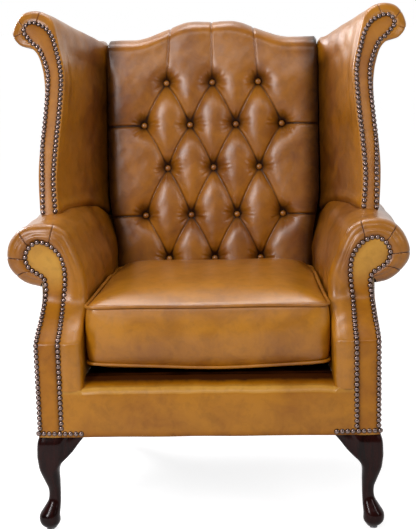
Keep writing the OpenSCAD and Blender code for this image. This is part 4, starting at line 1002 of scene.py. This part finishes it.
def buildCushion():
    low, top, base, crown = (cushion[k] for k in ("low", "top", "base", "crown"))
    inset, largest = 6.5, 0.995
    rows = [cushionRing(base + (low - base) * s**8, inset, s) for s in np.linspace(0, largest, 26)]
    for k in np.linspace(0, 1, 17):
        rows.append(cushionRing(low + (top - low) * k, 7.0 - 6.5 * np.sin(math.pi * k) ** 0.4, 1))
    rows += [cushionRing(top + crown * (1 - s**5), inset, s) for s in np.linspace(largest, 0, 26)]
    ring = np.stack(rows)
    x, u, z = ring[..., 0], ring[..., 1], ring[..., 2]
    p = placed(x, u - 11 * swollen(x, u, z), z - sag(x, u, z))
    wearAndPaintedLight = cushionWearAndPaintedLight(u, z)
    obj = makePiece("cushion_leather", [(p, wearAndPaintedLight, False, True, False)], leather, "seat_cushion")
    puffCushion(obj)
    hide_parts("seat_cushion_cover", "seat_cushion_core")


# How far the filling may push the leather out: on top, in front, and at the sides and the rear
swellMost = {"top": 12.0, "front": 10.0, "sides": 5.0}


# The filling pushes the leather out while its seams hold: a cloth under pressure, pinned along
# the two welts
def puffCushion(obj):
    scene = bpy.context.scene
    remesh = obj.modifiers.new("even", "REMESH")
    remesh.mode = "VOXEL"
    remesh.voxel_size = 0.006
    graph = bpy.context.evaluated_depsgraph_get()
    mesh = bpy.data.meshes.new_from_object(obj.evaluated_get(graph))
    obj.modifiers.clear()
    obj.data = mesh
    rest = np.empty(len(mesh.vertices) * 3, np.float32)
    mesh.vertices.foreach_get("co", rest)
    rest = rest.reshape(-1, 3)
    x, u, z = rest[:, 0] / mm, rest[:, 1] / mm + standShift, rest[:, 2] / mm
    z = z + sag(x, u, z + sag(x, u, z))
    held = np.minimum(np.abs(z - cushion["top"]), np.abs(z - cushion["low"]))
    group = obj.vertex_groups.new(name="seams")
    for i in np.nonzero(held < 5)[0].tolist():
        group.add([i], 1.0, "REPLACE")
    cloth = obj.modifiers.new("cloth", "CLOTH")
    settings = cloth.settings
    settings.quality = 4
    settings.mass = 0.4
    settings.tension_stiffness = settings.compression_stiffness = 12
    settings.bending_stiffness = 2.5
    settings.use_pressure = True
    settings.uniform_pressure_force = 4
    settings.vertex_group_mass = "seams"
    settings.effector_weights.gravity = 0
    cloth.collision_settings.use_collision = False
    frames = 20
    scene.frame_start, scene.frame_end = 1, frames
    for n in range(1, frames + 1):
        scene.frame_set(n)
    graph = bpy.context.evaluated_depsgraph_get()
    moved = bpy.data.meshes.new_from_object(obj.evaluated_get(graph))
    co = np.empty_like(rest)
    moved.vertices.foreach_get("co", co.reshape(-1))
    step = co.reshape(-1, 3) - rest
    size = np.linalg.norm(step, axis=1)[:, None] + 1e-9
    # It is flat where it rests on the deck, and stays between the arms and the back
    limit = np.where(u < 46, swellMost["front"], swellMost["sides"])
    limit = np.where(z > cushion["top"] + 4, swellMost["top"], limit)
    limit = np.where(z < cushion["low"] - 4, 0.0, limit)[:, None] * mm
    step *= np.minimum(size, limit) / size
    obj.modifiers.clear()
    scene.frame_set(1)
    new = rest + step
    new[:, 1] -= tucked(x, u + 11 * swollen(x, u, z), z) * mm
    mesh.vertices.foreach_set("co", new.reshape(-1))
    mesh.polygons.foreach_set("use_smooth", np.ones(len(mesh.polygons), bool))
    layer = mesh.attributes.new("wearAndPaintedLight", "FLOAT", "POINT")
    layer.data.foreach_set("value", cushionWearAndPaintedLight(u, z).astype(np.float32))
    mesh.materials.clear()
    mesh.materials.append(leather)
    mesh.update()
    finer = obj.modifiers.new("round", "SUBSURF")
    finer.levels = finer.render_levels = 1
    print("cushion filled, furthest point moved", round(float(size.max()) / mm, 1), "mm")


buildCushion()


# A tube along a closed ring of points
def ringTube(ring, r, count=10):
    step = np.roll(ring, -1, axis=0) - np.roll(ring, 1, axis=0)
    step /= np.linalg.norm(step, axis=1)[:, None]
    side = np.stack([step[:, 1], -step[:, 0], 0 * step[:, 0]], axis=1)
    a = circle(count)[None, :, None]
    p = ring[:, None] + r * (side[:, None] * np.cos(a) + np.array([0, 0, 1.0]) * np.sin(a))
    return placed(p[..., 0], p[..., 1], p[..., 2])


def buildWelts():
    grids = []
    for z in (cushion["low"], cushion["top"]):
        ring = cushionRing(z, cushion["welt"], 1, 16, 60)
        ring[:, 2] -= sag(ring[:, 0], ring[:, 1], ring[:, 2])
        ring[:, 2] += waves(placed(ring[:, 0], ring[:, 1], ring[:, 2]), 160, 61) * 1.2
        grids.append((ringTube(ring, cushion["welt"]), 1.4, True, True, True))
    piece = makePiece("welts", grids, leather, "seat_cushion")
    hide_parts("cushion_welts")


buildWelts()
print("seat made")

# The legs

leg = {"setIn": 7.0, "knee": 62.0, "ankle": 25.0, "foot": 42.0, "ear": 34.0}
# Each level's height, how far its outer faces are set in, its shares of the three widths and of the
# ear's reach, and how square it is
legShares = [
    [0.016, 1, 0, 0, 0.45, 0, 2], [0.04, -0.14, 0, 0, 0.72, 0, 2], [0.087, -1, 0, 0, 1, 0, 2.2],
    [0.16, -1, 0, 0, 1, 0, 2.2], [0.233, 0.29, 0, 0, 0.81, 0, 2.2], [0.31, 1.57, 0, 1.02, 0, 0, 2.2],
    [0.413, 1.71, 0, 1, 0, 0, 2.2], [0.51, 0.86, 0, 1.26, 0, 0, 2.5], [0.631, -0.29, 0.645, 0, 0, 0, 3],
    [0.704, -0.64, 0.78, 0, 0, 0, 3.5], [0.777, -0.86, 0.9, 0, 0, 0.25, 4],
    [0.835, -0.79, 0.93, 0, 0, 0.5, 4.5], [0.885, -0.72, 0.95, 0, 0, 0.68, 5],
    [0.937, -0.57, 0.97, 0, 0, 0.85, 5], [0.997, 0, 1, 0, 0, 1, 6],
]


def buildFrontLeg(side, label):
    s = smooth(legShares, np.linspace(0, len(legShares) - 1, 90))
    z, off = s[:, :1] * skirtZ, s[:, 1:2] * leg["setIn"]
    h = (s[:, 2:3] * leg["knee"] + s[:, 3:4] * leg["ankle"] + s[:, 4:5] * leg["foot"]) / 2
    ear, e = s[:, 5:6] * leg["ear"], 2 / s[:, 6:]
    a = circle(64)[None, :]
    c, n = np.cos(a), np.sin(a)
    x = h * np.sign(c) * np.abs(c) ** e
    y = h * np.sign(n) * np.abs(n) ** e
    x = baseHalf - (off + h) - x - ear * ease((c - 0.72) / 0.28)
    u = (off + h) + y + ear * ease((n - 0.72) / 0.28)
    p = turned(x, u, z, side)
    middle = p[:1].mean(axis=1, keepdims=True)
    p = np.concatenate([middle + (p[:1] - middle) * 0.02, p])
    piece = makePiece(f"cabriole_leg_{label}", [(p, 1.0, False, True, side < 0)], mahogany)
    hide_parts(f"front_leg_{label}")


# The outside of the back: one panel, slightly swelled, that wraps a little round its edges. Its half
# width follows the arms up to their tops and the wings above.
def buildOutsideBack():
    def half(x, z):
        return halfAt(sideU(backU(backV, z), x), x)

    lowW, armW = (skirtZ - deckZ) / math.cos(rake) + backV * math.tan(rake), 331.0
    topW = backH - crestRise - rollH + 2
    count = 90
    s = np.linspace(0, 1, count)[:, None]
    k = np.linspace(-1, 1, count)[None, :]
    w = lowW + (topW - lowW) * s
    low, arm = half(baseHalf, skirtZ) + 1, half(baseHalf, armZ + armH) + 1
    wing, top = (half(rearX + rearW, z) + 1 for z in (690, 985))
    edge = low + (arm - low) * np.clip((w - lowW) / (armW - lowW), 0, 1)
    above = wing + (top - wing) * np.clip((w - armW) / (topW - armW), 0, 1)
    edge = edge + (above - edge) * ease((w - armW + 4) / 8)
    x = k * edge
    inside = np.clip(np.abs(x) / crestHalf, 0, 1)
    hump = (crestW(x) - rollH - topW) * (1 - ease((inside - 0.93) / 0.07))
    w = w + hump * ease((s - 0.7) / 0.3)
    near = np.minimum(edge * (1 - np.abs(k)), w - lowW)
    near = np.minimum(near, topW + np.maximum(hump, 0) - w)
    swell = 5.0 * (1 - np.exp(-((near / 60) ** 1.2)))
    p = raked(x, backV + 0.4 + swell - 3.4 * bell(near, 3), w)
    p[..., 1] += waves(p, 180, 71) * 0.8 * mm
    # Darker along its edges, where it turns round them
    wearAndPaintedLight = 1 - 0.35 * bell(near, 12)
    piece = makePiece("back_outside", [(p, wearAndPaintedLight, False, False, False)], leather)
    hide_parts("outside_back")


buildOutsideBack()

for side, label in sides:
    buildFrontLeg(side, label)
    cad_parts[f"rear_leg_{label}"].data.materials[0] = mahogany
print("legs made")

# The nails: domed heads along the facings, the wings' fronts and the base's lower corners

nail = {"radius": 5.5, "high": 4.3, "armPitch": 11.0, "wingPitch": 10.9, "basePitch": 11.1}


# Places for heads along a curve in x and z that lies at a depth given by front
def headsAlong(points, front, pitch):
    t = np.linspace(0, len(points) - 1, 4000)
    p = smooth(points, t)
    run = runOf(np.column_stack([p, front(p[:, 1])]))
    at = np.linspace(0, run[-1], int(round(run[-1] / pitch)) + 1)
    return np.column_stack([np.interp(at, run, p[:, 0]), np.interp(at, run, p[:, 1])])


# A quarter of an oval turned round up, from its rim to its pole
def nailGrid(centre, up, count):
    up = up / np.linalg.norm(up)
    a = np.cross(up, [0.3, 0.2, 1.0])
    a /= np.linalg.norm(a)
    b = np.cross(up, a)
    k = np.array([0, 0.2, 0.4, 0.6, 0.8, 1.0])[:, None, None] * math.pi / 2
    q = circle(count)[None, :, None]
    out = nail["radius"] * np.cos(k) * (np.cos(q) * a + np.sin(q) * b)
    return centre + (out + (nail["high"] * np.sin(k) + 0.3) * up) * mm


def buildNails(side, label):
    grids = []
    # Painted shade at each head's rim, up to full colour at its pole
    dome = np.array([0, 0.12, 0.45, 0.8, 1, 1])[:, None]

    # Out of a front that leans back by slope: forwards and up, turned with the side
    def add(x, u, z, slope):
        up = np.array([side * math.sin(sideTurn), -math.cos(sideTurn), slope])
        grids.append((nailGrid(turned(x, u, z, side), up, 18), dome, False, True, True))

    # Each arm: up the inner edge, round the scroll, down the outer edge to the base
    outer = np.vstack([armNeck[:4], [armNeck[4][0], skirtZ + 20]]) - [2.6, 0]
    whole = np.vstack([[armNails[0][0], skirtZ + 20], armNails[1:], outer])
    for x, z in headsAlong(whole, armFrontU, nail["armPitch"]):
        slope = (armFrontU(z + 2) - armFrontU(z - 2)) / 4
        add(x, armFrontU(z) - 0.3, z, slope)
    for x in np.arange(262, baseHalf, nail["basePitch"]):
        add(x, -0.8, skirtZ + 9, 0)
    for x, z in headsAlong(wingNails, wingFrontU, nail["wingPitch"]):
        x, u, z = seated(x, wingFrontU(z) - 0.2, z, math.tan(lean))
        if z > armTop(x) + 2:
            add(x, u, z, math.tan(lean))
    makePiece(f"nails_{label}", grids, nailMetal)
    print(len(grids), "nails on the", label)


for side, label in sides:
    buildNails(side, label)
print("nails made")

# Floor, light and camera


def rays(tree):
    return tree.nodes.new("ShaderNodeLightPath").outputs


def larger(tree, a, b):
    return mathNode(tree, "MAXIMUM", a, b)


ground = {"half": 40, "colour": 0.5, "glow": 0.82, "mirrorShare": 0.4}


# The floor glows for what the camera or glass sees, less for a mirror, and not for the light that
# falls on the object
def buildFloor():
    material, tree, shader = newMaterial("floor")
    path = rays(tree)
    seen = larger(tree, path["Is Camera Ray"], times(tree, path["Is Glossy Ray"], ground["mirrorShare"]))
    seen = larger(tree, seen, path["Is Transmission Ray"])
    feed(tree, shader, {
        "Base Color": (ground["colour"],) * 3 + (1,), "Roughness": 0.8,
        "Emission Color": (1, 1, 1, 1), "Emission Strength": times(tree, seen, ground["glow"]),
    })
    mesh = bpy.data.meshes.new("floor")
    h = ground["half"]
    mesh.from_pydata([(-h, -h, 0), (h, -h, 0), (h, h, 0), (-h, h, 0)], [], [(0, 1, 2, 3)])
    mesh.materials.append(material)
    floor = bpy.data.objects.new("floor", mesh)
    bpy.context.scene.collection.objects.link(floor)


# White to the camera, and dim light on the object. Its gloss mirrors a white backdrop behind the
# chair and a dark room in front of it.
def buildWorld():
    world = bpy.data.worlds.new("world")
    world.use_nodes = True
    tree = world.node_tree
    ahead = tree.nodes.new("ShaderNodeTexCoord").outputs["Generated"]
    ahead = node(tree, "ShaderNodeSeparateXYZ", Vector=ahead).outputs["Y"]
    room = scaled(tree, ramp(tree, ahead, -0.1, 0.5), 0.95, 0.05)
    path = rays(tree)
    mirror = larger(tree, path["Is Glossy Ray"], path["Is Transmission Ray"])
    dim = 0.28
    level = plus(tree, times(tree, mirror, minus(tree, room, dim)), dim)
    feed(tree, tree.nodes["Background"], {
        "Color": (1, 1, 1, 1), "Strength": larger(tree, level, path["Is Camera Ray"]),
    })
    bpy.context.scene.world = world


buildFloor()
buildWorld()


# A lamp at a place, aimed at another; sizes in metres, power in watts
def areaLight(name, at, aim, size, power, colour):
    data = bpy.data.lights.new(name, "AREA")
    data.shape = "RECTANGLE"
    data.size, data.size_y = size
    data.energy = power
    data.color = colour
    obj = bpy.data.objects.new(name, data)
    obj.location = at
    obj.visible_camera = False
    obj.rotation_euler = (Vector(aim) - Vector(at)).to_track_quat("-Z", "Y").to_euler()
    bpy.context.scene.collection.objects.link(obj)


areaLight("windowLight", (-1.58, -2.6, 1.95), (0, 0, 0.7), (0.5, 1.2), 51, (1.0, 0.96, 0.98))
areaLight("frontLight", (0.1, -2.3, 2.8), (0, -0.2, 0.4), (2.2, 0.3), 16, (1.0, 0.97, 0.98))
areaLight("fillLight", (2.3, -1.9, 1.9), (0, 0, 0.6), (0.5, 1.4), 14, (1.0, 0.96, 0.97))
areaLight("topLight", (-0.3, 0.75, 2.9), (0, -0.1, 0.5), (1.3, 0.7), 24, (1.0, 0.97, 1.0))
areaLight("backLight", (-1.9, 1.5, 2.0), (0.2, 0.2, 0.9), (0.7, 1.0), 44, (1.0, 0.97, 1.0))

# The photograph's view: focal length, height and sideways shift in its pixels, the camera's turns in
# degrees, and its place in metres, with y from the front of the base
view = {
    "focal": 1314.4, "height": 529, "shift": -0.8, "turns": (-2.687, 11.512, -1.409),
    "at": (0.1296, -2.5678, 1.0895),
}


def buildCamera():
    yaw, pitch, roll = (math.radians(angle) for angle in view["turns"])
    ahead = np.array([math.sin(yaw) * math.cos(pitch), math.cos(yaw) * math.cos(pitch), -math.sin(pitch)])
    right = np.array([math.cos(yaw), -math.sin(yaw), 0])
    above = np.cross(right, ahead)
    across = math.cos(roll) * right + math.sin(roll) * above
    upward = -math.sin(roll) * right + math.cos(roll) * above
    data = bpy.data.cameras.new("camera")
    data.sensor_width = 36
    data.lens = data.sensor_width * view["focal"] / view["height"]
    data.shift_x = view["shift"] / view["height"]
    camera = bpy.data.objects.new("camera", data)
    at = np.array(view["at"]) - (0, standShift * mm, 0)
    axes = np.column_stack([across, upward, -ahead, at])
    camera.matrix_world = Matrix(np.vstack([axes, (0, 0, 0, 1)]).tolist())
    bpy.context.scene.collection.objects.link(camera)
    bpy.context.scene.camera = camera


buildCamera()
bpy.context.scene.view_settings.view_transform = "Standard"
print("floor, light and camera made")
